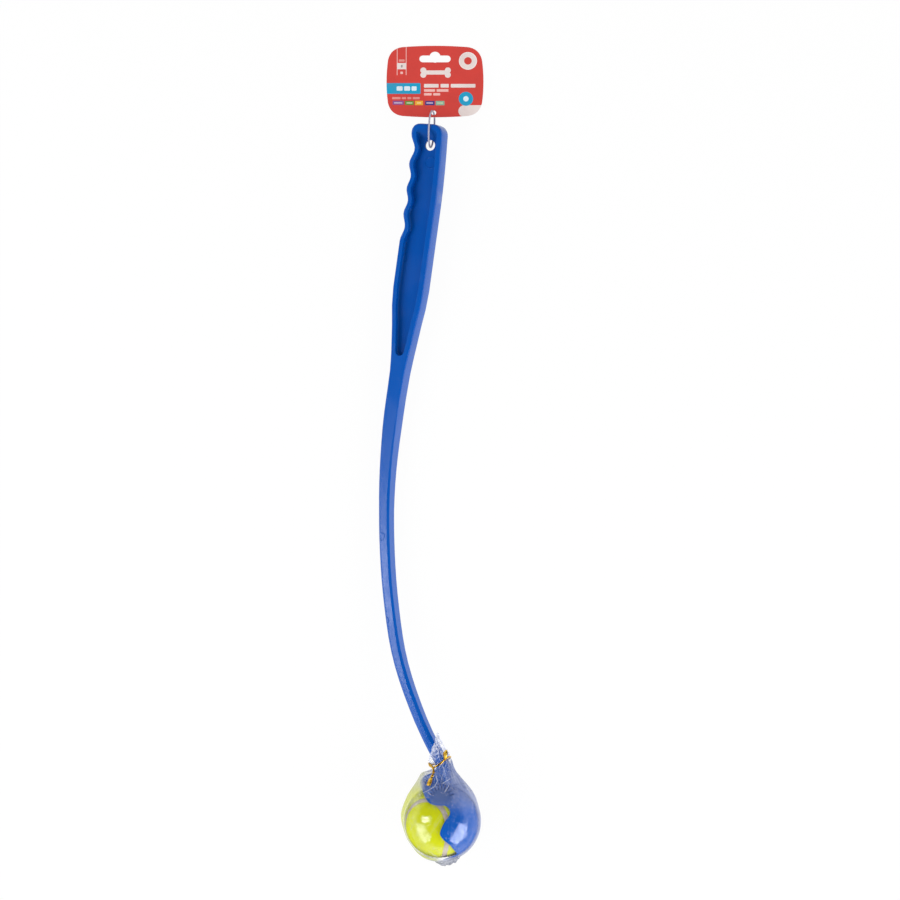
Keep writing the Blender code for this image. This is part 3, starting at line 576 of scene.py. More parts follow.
def new_group(name, inputs, outputs):
    """An empty shader group. An input without a default is a vector, and the outputs are numbers."""
    group = bpy.data.node_groups.new(name, "ShaderNodeTree")
    for label, default in inputs.items():
        kind = "NodeSocketVector" if default is None else "NodeSocketFloat"
        socket = group.interface.new_socket(name=label, in_out="INPUT", socket_type=kind)
        if default is not None:
            socket.default_value = default
    for label in outputs:
        group.interface.new_socket(name=label, in_out="OUTPUT", socket_type="NodeSocketFloat")
    return group, add_node(group, "NodeGroupInput").outputs, add_node(group, "NodeGroupOutput")


def use_group(tree, name, values):
    made = tree.nodes.new("ShaderNodeGroup")
    made.node_tree = bpy.data.node_groups[name]
    return feed(made, values).outputs


def build_surface_grain():
    """Fine moulded or pressed grain, with slow smudges in its gloss."""
    inputs = {"Vector": None, "Grain Scale": 1800.0, "Smudge Scale": 45.0}
    group, given, out = new_group("surface_grain", inputs, ("Height", "Smudge"))
    fine = noise_of(given["Vector"], given["Grain Scale"], 2.0, 0.6)
    slow = noise_of(given["Vector"], given["Smudge Scale"], 4.0, 0.62, 0.3)
    feed(out, {"Height": fine, "Smudge": ramp(slow, 0.35, 0.68)})


def build_pin_mark():
    """The round witness line that an ejector pin leaves: a shallow ring about Centre."""
    inputs = {"Vector": None, "Centre": None, "Radius": 5.0 * MM, "Line": 0.4 * MM}
    group, given, out = new_group("pin_mark", inputs, ("Height",))
    away = vector_calc("DISTANCE", given["Vector"], given["Centre"])
    share = calc("DIVIDE", distance_from(away, given["Radius"]), given["Line"])
    feed(out, {"Height": ramp(share, 0.2, 1.0, 1.0, 0.0)})


def build_printed_patch():
    """A printed rectangle with round corners in the card's plane: 1 inside it, 0 outside."""
    inputs = {"Vector": None, "Centre": None, "Half Size": None, "Corner": 0.2 * MM}
    group, given, out = new_group("printed_patch", inputs, ("Mask",))
    apart = vector_calc("SUBTRACT", given["Vector"], given["Centre"])
    size = vector_calc("ABSOLUTE", apart)
    over = split(vector_calc("SUBTRACT", size, given["Half Size"]))
    sides = [larger(plus(over[i], given["Corner"]), 0.0) for i in (0, 1)]
    reach = minus(length_of(*sides), given["Corner"])
    blur = 0.03 * MM
    feed(out, {"Mask": ramp(reach, -blur, blur, 1.0, 0.0)})


def build_film_streak():
    """A crease in the film between two places seen from above: 1 on it, 0 beside it."""
    inputs = {"Vector": None, "Start": None, "End": None, "Width": 0.4 * MM}
    group, given, out = new_group("film_streak", inputs, ("Mask",))
    flat = vector_calc("MULTIPLY", given["Vector"], (1.0, 1.0, 0.0))
    reach = vector_calc("SUBTRACT", flat, given["Start"])
    line = vector_calc("SUBTRACT", given["End"], given["Start"])
    length = vector_calc("DOT_PRODUCT", line, line)
    share = calc("DIVIDE", vector_calc("DOT_PRODUCT", reach, line), length, clamp=True)
    foot = add_node(group, "ShaderNodeVectorMath", {0: line, "Scale": share}, operation="SCALE").outputs[0]
    off = calc("DIVIDE", vector_calc("DISTANCE", reach, foot), given["Width"])
    feed(out, {"Mask": ramp(off, 0.5, 1.1, 1.0, 0.0)})


def build_film_rosette_shade():
    """The greyed disc of painted shade and dull reflection where the film lies against the cup's top, with
    painted pleat shadows like rays on its rim.
    """
    inputs = {"Vector": None, "Centre": None, "Radius": 9.0 * MM, "Ray": 4.0 * MM}
    group, given, out = new_group("film_rosette", inputs, ("Mask", "Rays"))
    east, north, _ = split(vector_calc("SUBTRACT", given["Vector"], given["Centre"]))
    turn = calc("ARCTAN2", north, east)
    wander = noise_of(given["Vector"], 240.0, 2.0)
    phase = plus(times(turn, 10.5), times(wander, 2.2))
    wave = calc("POWER", calc("ABSOLUTE", calc("SINE", phase)), 5.0)
    past = minus(length_of(east, north), given["Radius"])
    lower = ramp(north, -0.0105, -0.001)
    disc = times(ramp(past, -0.0012, 0.0009, 1.0, 0.0), lower)
    reach = calc("DIVIDE", past, given["Ray"])
    band = times(ramp(reach, -0.9, -0.3), ramp(reach, 0.2, 1.2, 1.0, 0.0))
    upper = ramp(north, -0.002, 0.003)
    feed(out, {"Mask": disc, "Rays": times(wave, band, upper)})


def build_groups():
    for old in list(bpy.data.node_groups):
        bpy.data.node_groups.remove(old)
    build_surface_grain()
    build_pin_mark()
    build_printed_patch()
    build_film_streak()
    build_film_rosette_shade()


# Materials


def grained(name, scales, colour, smudged, roughness, relief, strength):
    """A material with fine grain that turns to its second colour where it is smudged."""
    made, tree, surface = new_material(name)
    values = {"Vector": object_place(tree), "Grain Scale": scales[0], "Smudge Scale": scales[1]}
    grain = use_group(tree, "surface_grain", values)
    shade = mix_colour(grain["Smudge"], colour, smudged)
    normal = bump(grain["Height"], relief, strength)
    feed(surface, {"Base Color": shade, "Roughness": roughness, "Normal": normal})
    return made, surface


def blue_plastic(colour, edge):
    made, tree, surface = new_material("blue_plastic")
    place = object_place(tree, LYING)
    values = {"Vector": place, "Grain Scale": 1700.0, "Smudge Scale": 38.0}
    grain = use_group(tree, "surface_grain", values)
    faded = ramp(noise_of(place, 22.0, 2.0), 0.3, 0.75, 0.0, 0.35)
    marks = []
    for centre, radius in PIN_MARKS:
        values = {"Vector": place, "Centre": centre, "Radius": radius, "Line": PIN_LINE}
        marks.append(use_group(tree, "pin_mark", values)["Height"])
    edges = add_node(tree, "ShaderNodeBevel", {"Radius": edge}, samples=6).outputs[0]
    rings = bump(larger(*marks), 0.25 * MM, normal=edges)
    values = {
        "Base Color": mix_colour(faded, colour, toned(colour, 0.86)),
        "Roughness": ramp(grain["Smudge"], 0.0, 1.0, 0.16, 0.23),
        "Specular IOR Level": 0.26,
        "Normal": bump(grain["Height"], 0.03 * MM, 0.5, rings),
    }
    feed(surface, values)
    return made


def yellow_felt(colour):
    made, tree, surface = new_material("yellow_felt")
    place = object_place(tree)
    fibres = noise_of(place, 1500.0, 4.0, 0.7, 0.6)
    clumps = noise_of(place, 260.0, 3.0, 0.55)
    patches = noise_of(place, 40.0, 2.0)
    low, high = toned(colour, 0.72, 0.74, 0.7), toned(colour, 1.16, 1.13, 1.5)
    shade = mix_colour(ramp(fibres, 0.3, 0.7), low, high)
    both = plus(times(fibres, 0.6), times(clumps, 0.8))
    values = {
        "Base Color": mix_colour(ramp(patches, 0.3, 0.7, 0.0, 0.4), shade, colour),
        "Roughness": 0.92,
        "Sheen Weight": 0.03,
        "Sheen Roughness": 0.45,
        "Specular IOR Level": 0.2,
        "Normal": bump(both, 0.35 * MM, 0.7),
    }
    feed(surface, values)
    return made


def seam_rubber(colour):
    return grained("seam_rubber", (1500.0, 120.0), colour, toned(colour, 0.8), 0.7, 0.08 * MM, 0.6)[0]


def core_rubber():
    dark, dusty = rgb(58, 56, 54), rgb(82, 79, 74)
    return grained("core_rubber", (900.0, 90.0), dark, dusty, 0.78, 0.08 * MM, 0.6)[0]


def loop_plastic(colour):
    dark = toned(colour, 0.86)
    made, surface = grained("clear_plastic", (1600.0, 160.0), colour, dark, 0.3, 0.05 * MM, 0.5)
    depth = (2.0 * MM, 2.0 * MM, 2.2 * MM)
    values = {"Subsurface Weight": 0.35, "Subsurface Radius": depth, "Subsurface Scale": 1.0}
    feed(surface, values)
    return made


def gold_foil(colour):
    made, tree, surface = new_material("gold_foil")
    place = object_place(tree)
    creases = noise_of(place, 700.0, 3.0, 0.6, 0.5)
    rubbed = noise_of(place, 260.0, 3.0, 0.6)
    dark = toned(colour, 0.5, 0.36, 0.16)
    values = {
        "Base Color": mix_colour(ramp(rubbed, 0.42, 0.66), colour, dark),
        "Metallic": 1.0,
        "Roughness": ramp(rubbed, 0.3, 0.7, 0.2, 0.36),
        "Normal": bump(creases, 0.25 * MM, 0.55),
    }
    feed(surface, values)
    return made


def red_card(colour):
    """The printed card: red ink with plain blocks, bars and discs, and pale board at the edge and back."""
    made, tree, surface = new_material("red_card")
    place = object_place(tree, CARD_FRAME)
    shade = colour
    for ink, corner, patches in CARD_PRINT:
        for x, y, half_x, half_y in patches:
            values = {
                "Vector": place,
                "Centre": (x * MM, y * MM, 0.0),
                "Half Size": (half_x * MM, half_y * MM, 1.0),
                "Corner": min(corner, half_x, half_y) * MM,
            }
            mask = use_group(tree, "printed_patch", values)["Mask"]
            shade = mix_colour(mask, shade, rgb(*CARD_INKS[ink]))
    fibre = noise_of(place, 900.0, 3.0, 0.6)
    cloud = noise_of(place, 60.0, 2.0)
    shade = mix_colour(ramp(cloud, 0.3, 0.75, 0.0, 0.12), shade, rgb(150, 36, 34))
    board = mix_colour(ramp(fibre, 0.3, 0.7), rgb(214, 210, 202), rgb(228, 225, 219))
    printed = ramp(split(place)[2], 0.15 * MM, 0.22 * MM)
    values = {
        "Base Color": mix_colour(printed, board, shade),
        "Roughness": ramp(cloud, 0.3, 0.7, 0.36, 0.46),
        "Specular IOR Level": 0.35,
        "Normal": bump(fibre, 0.04 * MM, 0.5),
    }
    feed(surface, values)
    return made


def attribute(tree, name, output):
    return add_node(tree, "ShaderNodeAttribute", attribute_name=name).outputs[output]


def read_film(tree):
    """What the film's masks read: its place at rest, its level from bottom to tuft, and its noises."""
    place = attribute(tree, "laid", "Vector")
    fold = attribute(tree, "fold", "Vector")
    across, up, out = split(object_place(tree, LYING, place))
    east, north, height = split(place)
    level = split(fold)[2]
    middle = (LYING.translation.x, LYING.translation.y, 0.0)
    return SimpleNamespace(
        tree=tree,
        place=place,
        fold=fold,
        level=level,
        across=across,
        up=up,
        out=out,
        east=east,
        north=north,
        away=vector_calc("DISTANCE", vector_calc("MULTIPLY", place, (1.0, 1.0, 0.0)), middle),
        slow=noise_of(place, 130.0, 3.0, 0.6, 0.6),
        crumpled=noise_of(place, 560.0, 4.0, 0.7, 1.4),
        top=ramp(height, 0.036, 0.046),
        below_tie=ramp(level, 1.75, 1.95, 1.0, 0.0),
    )


def film_creases(film):
    """How far the film is crumpled into its seal and tuft, and how far into the seal alone."""
    off_seal = distance_from(film.out, 2.5 * MM)
    along_bottom = ramp(film.north, -0.3585, -0.3552, 0.95, 0.0)
    by_seal = times(along_bottom, ramp(off_seal, 0.006, 0.0145, 1.0, 0.15))
    crease = larger(attribute(film.tree, "crease", "Fac"), by_seal)
    return crease, times(crease, ramp(film.level, 0.9, 1.4, 1.0, 0.0))


def film_streaks(film):
    """Single creases over the head's top, broken up, whitened and with their highlights painted in, and
    loose bright flecks that are painted glints.
    """
    shown = []
    for start, end, width, strength in FILM_STREAKS:
        values = {
            "Vector": film.place,
            "Start": (start[0] * MM, start[1] * MM, 0.0),
            "End": (end[0] * MM, end[1] * MM, 0.0),
            "Width": width * STREAK_WIDTH * MM,
        }
        mask = use_group(film.tree, "film_streak", values)["Mask"]
        shown.append(times(mask, strength * STREAK_STRENGTH))
    broken = times(larger(*shown), ramp(film.crumpled, 0.36, 0.5, 0.45, 1.0))
    # Painted glints: loose bright flecks.
    fine = ramp(noise_of(film.place, 1250.0, 1.0), 0.67, 0.72)
    painted_glints = times(fine, ramp(noise_of(film.place, 110.0, 2.0), 0.48, 0.6, 0.0, 0.85))
    return times(larger(broken, painted_glints), film.top)


def film_white(film, crease, hem):
    """The whitish marks: pleats at the neck, specks in the tuft and seal, and single creases and flecks,
    which carry painted highlights and glints.
    """
    drawn = vector_calc("MULTIPLY", film.fold, (13.0, 13.0, 2.2))
    strands = distance_from(noise_of(drawn, 1.0, 3.0), 0.5)
    lines = ramp(strands, 0.0, 0.045, 1.0, 0.0)
    neck = times(ramp(film.level, 1.3, 1.85), ramp(film.level, 2.02, 2.12, 1.0, 0.0))
    pleats = times(lines, neck, 0.36)
    loose = plus(film.crumpled, ramp(film.level, 2.1, 2.9, -0.05, 0.07))
    specks = larger(ramp(loose, 0.46, 0.57, 0.05, 0.95), times(hem, 0.92))
    return larger(pleats, times(crease, specks), film_streaks(film))


def film_painted_felt_reflection(film):
    """Painted reflection of the felt in the film: pale yellow painted under the neck on the left and along
    the ball's left side.
    """
    neck = times(ramp(film.across, -0.015, -0.006, 1.0, 0.0), ramp(film.up, 0.012, 0.026))
    edge = times(ramp(film.east, -0.0258, -0.0205, 1.0, 0.0), ramp(film.up, -0.032, -0.02))
    uneven = ramp(film.slow, 0.3, 0.65, 0.4, 0.7)
    west = plus(film.east, ramp(film.north, -0.34, -0.32, -0.014, 0.0))
    beside = times(ramp(film.away, 0.0305, 0.034), ramp(west, -0.012, -0.004, 0.74, 0.0))
    painted_felt_reflection = larger(times(larger(neck, edge), uneven), beside)
    return times(painted_felt_reflection, film.below_tie)


def film_painted_edge_sheen(film):
    """Painted sheen: a bluish veil where the film stands off the cup on the right and along its right rim,
    standing in for the light that the film mirrors there.
    """
    right = times(ramp(film.across, 0.01, 0.022), ramp(film.up, 0.004, 0.026))
    rim = times(ramp(film.east, 0.0375, 0.0425), 0.6)
    uneven = ramp(film.slow, 0.3, 0.65, 0.4, 0.7)
    veil = times(larger(right, rim), times(film.below_tie, uneven), 0.4)
    beside = times(ramp(film.away, 0.0318, 0.0357), ramp(film.east, 0.012, 0.02))
    beside = times(beside, film.below_tie, ramp(film.slow, 0.3, 0.6, 0.42, 0.85))
    return larger(veil, beside)


def film_mirror(film, facing_up):
    """The light that the film mirrors: most on its top and little on its sides."""
    glance = add_node(film.tree, "ShaderNodeFresnel", {"IOR": 1.5}).outputs[0]
    stretched = times(glance, ramp(facing_up, 0.66, 0.8, 1.2, 2.8))
    mirror = calc("MINIMUM", stretched, ramp(facing_up, 0.45, 0.75, 0.02, 0.42))
    return times(mirror, ramp(noise_of(film.place, 800.0, 3.0, 0.65), 0.42, 0.54, 0.3, 1.3))


def clear_film(colour):
    """Thin clear film: it mirrors light that glances off it, and is whitish where it is creased."""
    made, tree, surface = new_material("clear_film")
    film = read_film(tree)
    crease, hem = film_creases(film)
    white = film_white(film, crease, hem)
    # Painted reflection of the felt on the film's left.
    painted_felt_reflection = film_painted_felt_reflection(film)
    # Painted sheen on the film's right edge.
    painted_edge_sheen = film_painted_edge_sheen(film)
    # Painted shade: the rosette's greyed disc and the dark pleat shadows round it.
    values = {"Vector": film.place, "Centre": ROSETTE_CENTRE, "Radius": ROSETTE_RADIUS, "Ray": ROSETTE_RAY}
    rosette_shade = use_group(tree, "film_rosette", values)
    grey = times(rosette_shade["Mask"], film.top, 0.26)
    pleat_shadows = times(rosette_shade["Rays"], film.top, 0.78)

    geometry = add_node(tree, "ShaderNodeNewGeometry").outputs
    mirror = film_mirror(film, split(geometry["Normal"])[2])
    dull = plus(times(white, 0.96), plus(grey, painted_felt_reflection), clamp=True)
    dull = larger(dull, larger(painted_edge_sheen, pleat_shadows))
    haze = plus(dull, times(minus(1.0, dull), mirror), clamp=True)
    haze = times(haze, ramp(geometry["Backfacing"], 0.0, 1.0, 1.0, 0.75))
    clear = add_node(tree, "ShaderNodeBsdfTransparent")
    both = add_node(tree, "ShaderNodeMixShader", {0: haze, 1: clear.outputs[0], 2: surface.outputs[0]})
    output = next(node for node in tree.nodes if node.type == "OUTPUT_MATERIAL")
    feed(output, {"Surface": both.outputs[0]})

    # Painted reflection of the felt: yellow, paler towards the neck.
    felt_reflection_colour = mix_colour(ramp(film.north, -0.303, -0.288), rgb(204, 210, 66), rgb(210, 212, 176))
    felt_reflection_colour = mix_colour(ramp(film.north, -0.342, -0.322), rgb(180, 188, 22), felt_reflection_colour)
    shade = colour
    # Painted layers over the film's colour: the felt's reflection, the bluish edge sheen, the rosette's
    # grey shade and its dark pleat shadows.
    layers = ((painted_felt_reflection, 1.6, felt_reflection_colour), (painted_edge_sheen, 2.2, rgb(132, 144, 186)))
    layers += ((grey, 2.8, rgb(96, 100, 100)), (pleat_shadows, 1.6, rgb(12, 34, 92)))
    for mask, strength, paint in layers:
        shade = mix_colour(calc("MULTIPLY", mask, strength, clamp=True), shade, paint)
    scuffed = ramp(noise_of(film.place, 1150.0, 3.0, 0.7), 0.4, 0.6)
    worn = mix_colour(scuffed, rgb(66, 76, 94), rgb(180, 182, 192))
    shade = mix_colour(white, shade, mix_colour(hem, colour, worn))
    matt = calc("DIVIDE", dull, plus(haze, 0.001), clamp=True)
    grain = noise_of(film.place, 1300.0, 2.0, 0.6)
    rise = plus(film.slow, times(grain, 0.27))
    rise = plus(rise, times(film.crumpled, crease, 0.8))
    values = {
        "Base Color": shade,
        "Metallic": minus(1.0, matt, clamp=True),
        "Roughness": ramp(dull, 0.0, 0.7, 0.07, 0.42),
        "Normal": bump(rise, 0.5 * MM, 0.55),
    }
    feed(surface, values)
    return made


# Pieces


def seam_point(turn):
    """A place on the ball's seam, and the way across the seam there."""
    b = SEAM_WAIST
    a = 1.0 - b
    c = 2.0 * math.sqrt(a * b)

    def place(t):
        x = a * math.cos(t) + b * math.cos(3 * t)
        y = a * math.sin(t) - b * math.sin(3 * t)
        return Vector((x, y, c * math.sin(2 * t)))

    nudge = math.radians(0.5)
    heading = (place(turn + nudge) - place(turn - nudge)).normalized()
    point = place(turn)
    return point.normalized(), point.cross(heading).normalized()


def beside_seam(turn, distance):
    point, across = seam_point(turn)
    return point * math.cos(distance) + across * math.sin(distance)


def make_felt(name, first):
    """A dumbbell of felt, as a grid whose rungs run from one side of the seam to the other."""
    side = 1.0 if first else -1.0
    start = -math.pi / 4 if first else math.pi / 4
    distance = side * (SEAM_HALF_TURN + GAP_TURN)

    def place(u, v):
        turn = start + math.pi * v
        a = beside_seam(turn, distance)
        b = beside_seam(2 * start - turn, distance)
        if a.angle(b, 0.0) < FELT_TIP_TURN:
            return a * BALL_RADIUS * FELT_TIP_SHARE
        point = a.slerp(b, u)
        edge = min(u, 1.0 - u) * a.angle(b)
        spot = point * RADIUS_IN_MM
        fluff = 0.12 * rough(spot, 1.6, 3.0) + 0.08 * rough(spot, 0.7, 8.0)
        drop = (1.0 - smooth(edge / FELT_EDGE_TURN)) * FELT_EDGE_DROP * MM
        return point * (BALL_RADIUS - drop + fluff * MM * FELT_FLUFF - FELT_SINK)

    return laid_grid(name, 44, 150, place)


def make_seam():
    """The moulded rubber line between the felts, a little crowned."""

    def place(u, v):
        across = (v - 0.5) * 2.0
        rise = SEAM_CROWN * (1.0 - across * across) - SEAM_SINK
        return beside_seam(math.tau * u, across * (SEAM_HALF_TURN + GAP_TURN)) * (BALL_RADIUS + rise * MM)

    return laid_grid("ball_seam_line", 260, 8, place)


def tuft_rise(angle):
    """How far the gathered end stands above the tie, in metres: most at the front right."""
    off = (angle - TUFT_PEAK + math.pi) % math.tau - math.pi
    return (TUFT_LEAST + TUFT_MORE * math.exp(-((off / TUFT_SPREAD) ** 2))) * MM


def oval(across, angle, wide, deep):
    """A place on an upright oval that is wide along across."""
    return across * wide * math.cos(angle) + UP * (deep * math.sin(angle))


def film_round_head(level, angle):
    """The skin on the head: a sphere, eased in over the ball that stands in the cup's mouth."""
    top = math.asin(SHOULDER[0][0])
    theta = -math.pi / 2 + (math.pi / 2 + top) * level
    out = Vector((math.cos(theta) * math.cos(angle), math.sin(theta), math.cos(theta) * math.sin(angle)))
    loose = 1.0 - smooth((out.y + 0.3) / 0.6)
    ease = (CUP_OUTSIDE - BALL_RADIUS) * smooth((-out.x - 0.26) / 0.5) * loose
    return out * (FILM_RADIUS - ease)


def film_over_shoulder(share, angle):
    """The skin from the head to the tie, on a smooth curve through the shoulder's stops."""
    stops = []
    for y, wide, x, lean in SHOULDER:
        stops.append((y * FILM_RADIUS, wide * FILM_RADIUS, wide * FILM_RADIUS, x * FILM_RADIUS, lean))
    for drop in (-TIE_WIDTH, 0.0):
        middle = GATHER_AT + GATHER_HEADING * drop
        stops.append((middle.y, *GATHER_HALF, middle.x, 1.0))
    spot = share * (len(stops) - 1)
    i = min(int(spot), len(stops) - 2)
    before, after = stops[max(i - 1, 0)], stops[min(i + 2, len(stops) - 1)]
    rows = zip(before, stops[i], stops[i + 1], after)
    y, wide, deep, x, lean = (curve(*row, spot - i) for row in rows)
    turn = lean * math.atan2(GATHER_ACROSS.y, GATHER_ACROSS.x)
    across = Vector((math.cos(turn), math.sin(turn), 0.0))
    return Vector((x, y, 0.0)) + oval(across, angle, wide, deep)


def film_in_tuft(share, angle):
    """The gathered end above the tie, which swings to the right at the front."""
    rise = share * tuft_rise(angle)
    front = smooth((math.sin(angle) + 0.35) / 0.8)
    free = rise / TUFT_LENGTH
    swell = 1.0 + 0.1 * math.sin(math.pi * min(free * 1.6, 1.0)) - 0.5 * free * free
    wide, deep = (half * swell for half in GATHER_HALF)
    swing = GATHER_ACROSS * TUFT_SWING * MM * front * free ** 1.5
    return GATHER_AT + TUFT_HEADING * rise + swing + oval(GATHER_ACROSS, angle, wide, deep)


def film_place(level, angle):
    """The bag's skin: level 0 at its bottom, 1 at the shoulder, 2 at the tie and 3 at the tuft's end."""
    if level <= 1.0:
        return film_round_head(level, angle)
    if level <= AT_TIE:
        return film_over_shoulder(level - 1.0, angle)
    return film_in_tuft(level - AT_TIE, angle)


def folded_at(point):
    """How near a place is to one of the loose film's sharp folds, up to 1 on it."""
    return 1.0 - abs(rough(point, 3.6 * MM, 11.0))


def make_bag(sizes):
    """The bag's skin with its pleats and crumpled end, as one sheet round the head and the neck."""
    neck_top = 60.0 * MM
    nudge = 0.01
    bottom = 0.02

    def ridge_at(point, angle):
        wander = 0.35 * rough(point, 14.0 * MM, 5.0)
        return (1.0 - abs(math.sin(sizes.pleats / 2 * (angle + wander)))) ** 2

    def place(u, v):
        angle = math.tau * u
        level = AT_TUFT_END * v
        point = film_place(level, angle)
        near = film_place(level, angle + nudge)
        far = film_place(level - nudge if level > bottom else level + nudge, angle)
        normal = (near - point).cross(far - point)
        if level <= bottom:
            normal = point.copy()
        normal = normal.normalized() if normal.length else point.normalized()
        if normal.dot(point - Vector((0.0, min(point.y, neck_top), 0.0))) < 0.0:
            normal.negate()
        gathered = smooth(level - 0.95)
        lift = gathered * sizes.pleat_depth * (ridge_at(point, angle) - 0.35)
        lift += 0.12 * MM * rough(point, 8.0 * MM, 2.0)
        tuft = smooth((level - 2.02) / 0.3)
        lift += tuft * sizes.crumple * (folded_at(point) ** 3 - 0.5)
        return point + normal * lift

    def crease(u, v):
        level = AT_TUFT_END * v
        tuft = smooth((level - 2.04) / 0.12)
        return min(tuft * (0.9 + 0.1 * folded_at(film_place(level, math.tau * u))), 1.0)

    def fold(u, v):
        angle = math.tau * u
        return (math.cos(angle), math.sin(angle), AT_TUFT_END * v)

    notes = (("crease", "FLOAT", crease), ("fold", "FLOAT_VECTOR", fold))
    bag = laid_grid("clear_bag", 240, 170, place, notes)
    face_out(bag, lambda point: Vector((0.0, min(max(point.y, 0.0), neck_top), 0.0)))
    hem = face_out(make_bag_hem(sizes), lambda point: point - UP)
    return joined("clear_bag", [bag, hem])


def make_bag_hem(sizes):
    """The crumpled seal along the bag's bottom, which stands off the head."""

    def place(u, v):
        turn = math.radians(SEAL_START + SEAL_SPAN * u)
        out = Vector((math.cos(turn), math.sin(turn), 0.0))
        end = math.sin(math.pi * u) ** 0.45
        rag = 0.85 + 0.25 * rough(out, 0.08, 3.0) + 0.12 * rough(out, 0.03, 7.0)
        reach = FILM_RADIUS - SEAL_TUCK * MM + v * end * rag * SEAL_REACH * MM
        point = out * reach + Vector((0.0, 0.0, SEAL_HEIGHT * MM + SEAL_SLOPE * MM * (u - 0.5)))
        wave = rough(point, 3.0 * MM, 4.0) * 1.5 + rough(point, 1.5 * MM, 9.0) * 0.7
        return point + Vector((0.0, 0.0, wave * sizes.crumple * (0.25 + 0.5 * v)))

    notes = (
        ("crease", "FLOAT", lambda u, v: 0.9 + 0.1 * v),
        ("fold", "FLOAT_VECTOR", lambda u, v: (1.0, 0.0, 0.0)),
    )
    return laid_grid("bag_hem", 70, 10, place, notes)


def tie_ring(share):
    """The tie round the gather: lower at the front, higher at its knot."""
    turn = math.tau * share
    out = oval(GATHER_ACROSS, turn, GATHER_HALF[0] + TIE_OFF_FILM, GATHER_HALF[1] + TIE_OFF_FILM)
    front = max(math.sin(turn), 0.0) ** 2
    left = smooth((-math.cos(turn) - 0.55) / 0.4)
    return GATHER_AT + out + GATHER_HEADING * ((2.6 * left - 2.9 * front) * MM)


def make_tie():
    """The foil tie: a wavy ring, a leg twisted twice and a half, a filled leaf, and the knot."""
    leg = [Vector(point) * MM for point in TIE_LEG]
    leaf = [Vector(point) * MM for point in TIE_LEAF]

    def worn(v, seed):
        return 1.0 + 0.22 * rough(Vector((v, 0.0, 0.0)), 0.035, seed)

    def ring_section(v):
        outward = (tie_ring(v) - GATHER_AT).normalized()
        return 0.75 * MM * worn(v, 2.0), TIE_THICK, 0.5 * math.sin(9.0 * math.tau * v), outward

    def leg_section(v):
        wide = 1.25 + 0.75 * smooth((v - 0.66) / 0.16)
        roll = 2.5 * math.tau * min(v / 0.68, 1.0)
        return wide * MM * worn(v, 5.0), 0.75 * MM, roll, UP

    def leaf_section(v):
        wide = 1.1 + 1.7 * math.sin(math.pi * v)
        return wide * MM * worn(v, 8.0), 0.6 * MM, 0.5 + 0.2 * math.sin(math.tau * v), UP

    def knot(v):
        turn = math.tau * 2.2 * v
        middle = leg[0] + (leg[1] - leg[0]) * (0.12 + 0.3 * v)
        sideways = Vector((-0.5, 0.1, 0.85)) * math.cos(turn) * 1.25 * MM
        return middle + sideways + GATHER_HEADING * math.sin(turn) * 1.3 * MM

    parts = [
        ribbon("tie_ring", 10, 150, tie_ring, ring_section, closed=True),
        ribbon("tie_leg", 12, 90, lambda v: along(leg, v), leg_section),
        ribbon("tie_leaf", 12, 60, lambda v: along(leaf, v), leaf_section),
        ribbon("tie_knot", 10, 60, knot, lambda v: (0.7 * MM, TIE_THICK, 3.0 * v, UP)),
    ]
    return joined("gold_tie", parts)


# Settings that a user would change


def length_choice(name, description, millimetres):
    return bpy.props.FloatProperty(
        name=name, description=description, default=millimetres * MM, unit="LENGTH"
    )


def colour_choice(name, description, *levels):
    return bpy.props.FloatVectorProperty(
        name=name, description=description, size=4, subtype="COLOR", default=rgb(*levels)
    )


class MakerSizes(bpy.types.PropertyGroup):
    edge: length_choice("Edge", "Rounding of the moulding's edges", 0.5)
    pleats: bpy.props.IntProperty(name="Pleats", description="Pleats where the bag is gathered", default=26)
    pleat_depth: length_choice("Pleat Depth", "Depth of the pleats at the tie", 0.9)
    crumple: length_choice("Crumple", "How far the loose film is crumpled", 1.3)


class MakerColours(bpy.types.PropertyGroup):
    plastic: colour_choice("Plastic", "Moulded plastic", 0, 82, 173)
    felt: colour_choice("Felt", "Ball felt", 198, 205, 1)
    seam: colour_choice("Seam", "Rubber line of the ball", 186, 174, 158)
    film: colour_choice("Film", "Creased film", 222, 226, 244)
    foil: colour_choice("Foil", "Twist tie", 240, 194, 72)
    loop: colour_choice("Loop", "Tag loop", 168, 165, 181)
    card: colour_choice("Card", "Card ink", 216, 66, 58)


class THROWER_OT_wand(bpy.types.Operator):
    """The moulded launcher: handle, shaft and cup in one piece"""

    bl_idname = "thrower.wand"
    bl_label = "Launcher"

    def execute(self, context):
        wand = from_node("launcher_moulding", "launcher_wand")
        edit_whole(wand, (bpy.ops.mesh.dissolve_limited, {"angle_limit": math.radians(0.6)}))
        soft_shading(wand, 32.0)
        weighted = wand.modifiers.new("weighted", "WEIGHTED_NORMAL")
        weighted.keep_sharp = True
        apply_modifiers(wand)
        plastic = blue_plastic(context.scene.thrower_colours.plastic, context.scene.thrower_sizes.edge)
        finish_piece(wand, plastic, "wand", ["launcher_wand"])
        return {"FINISHED"}


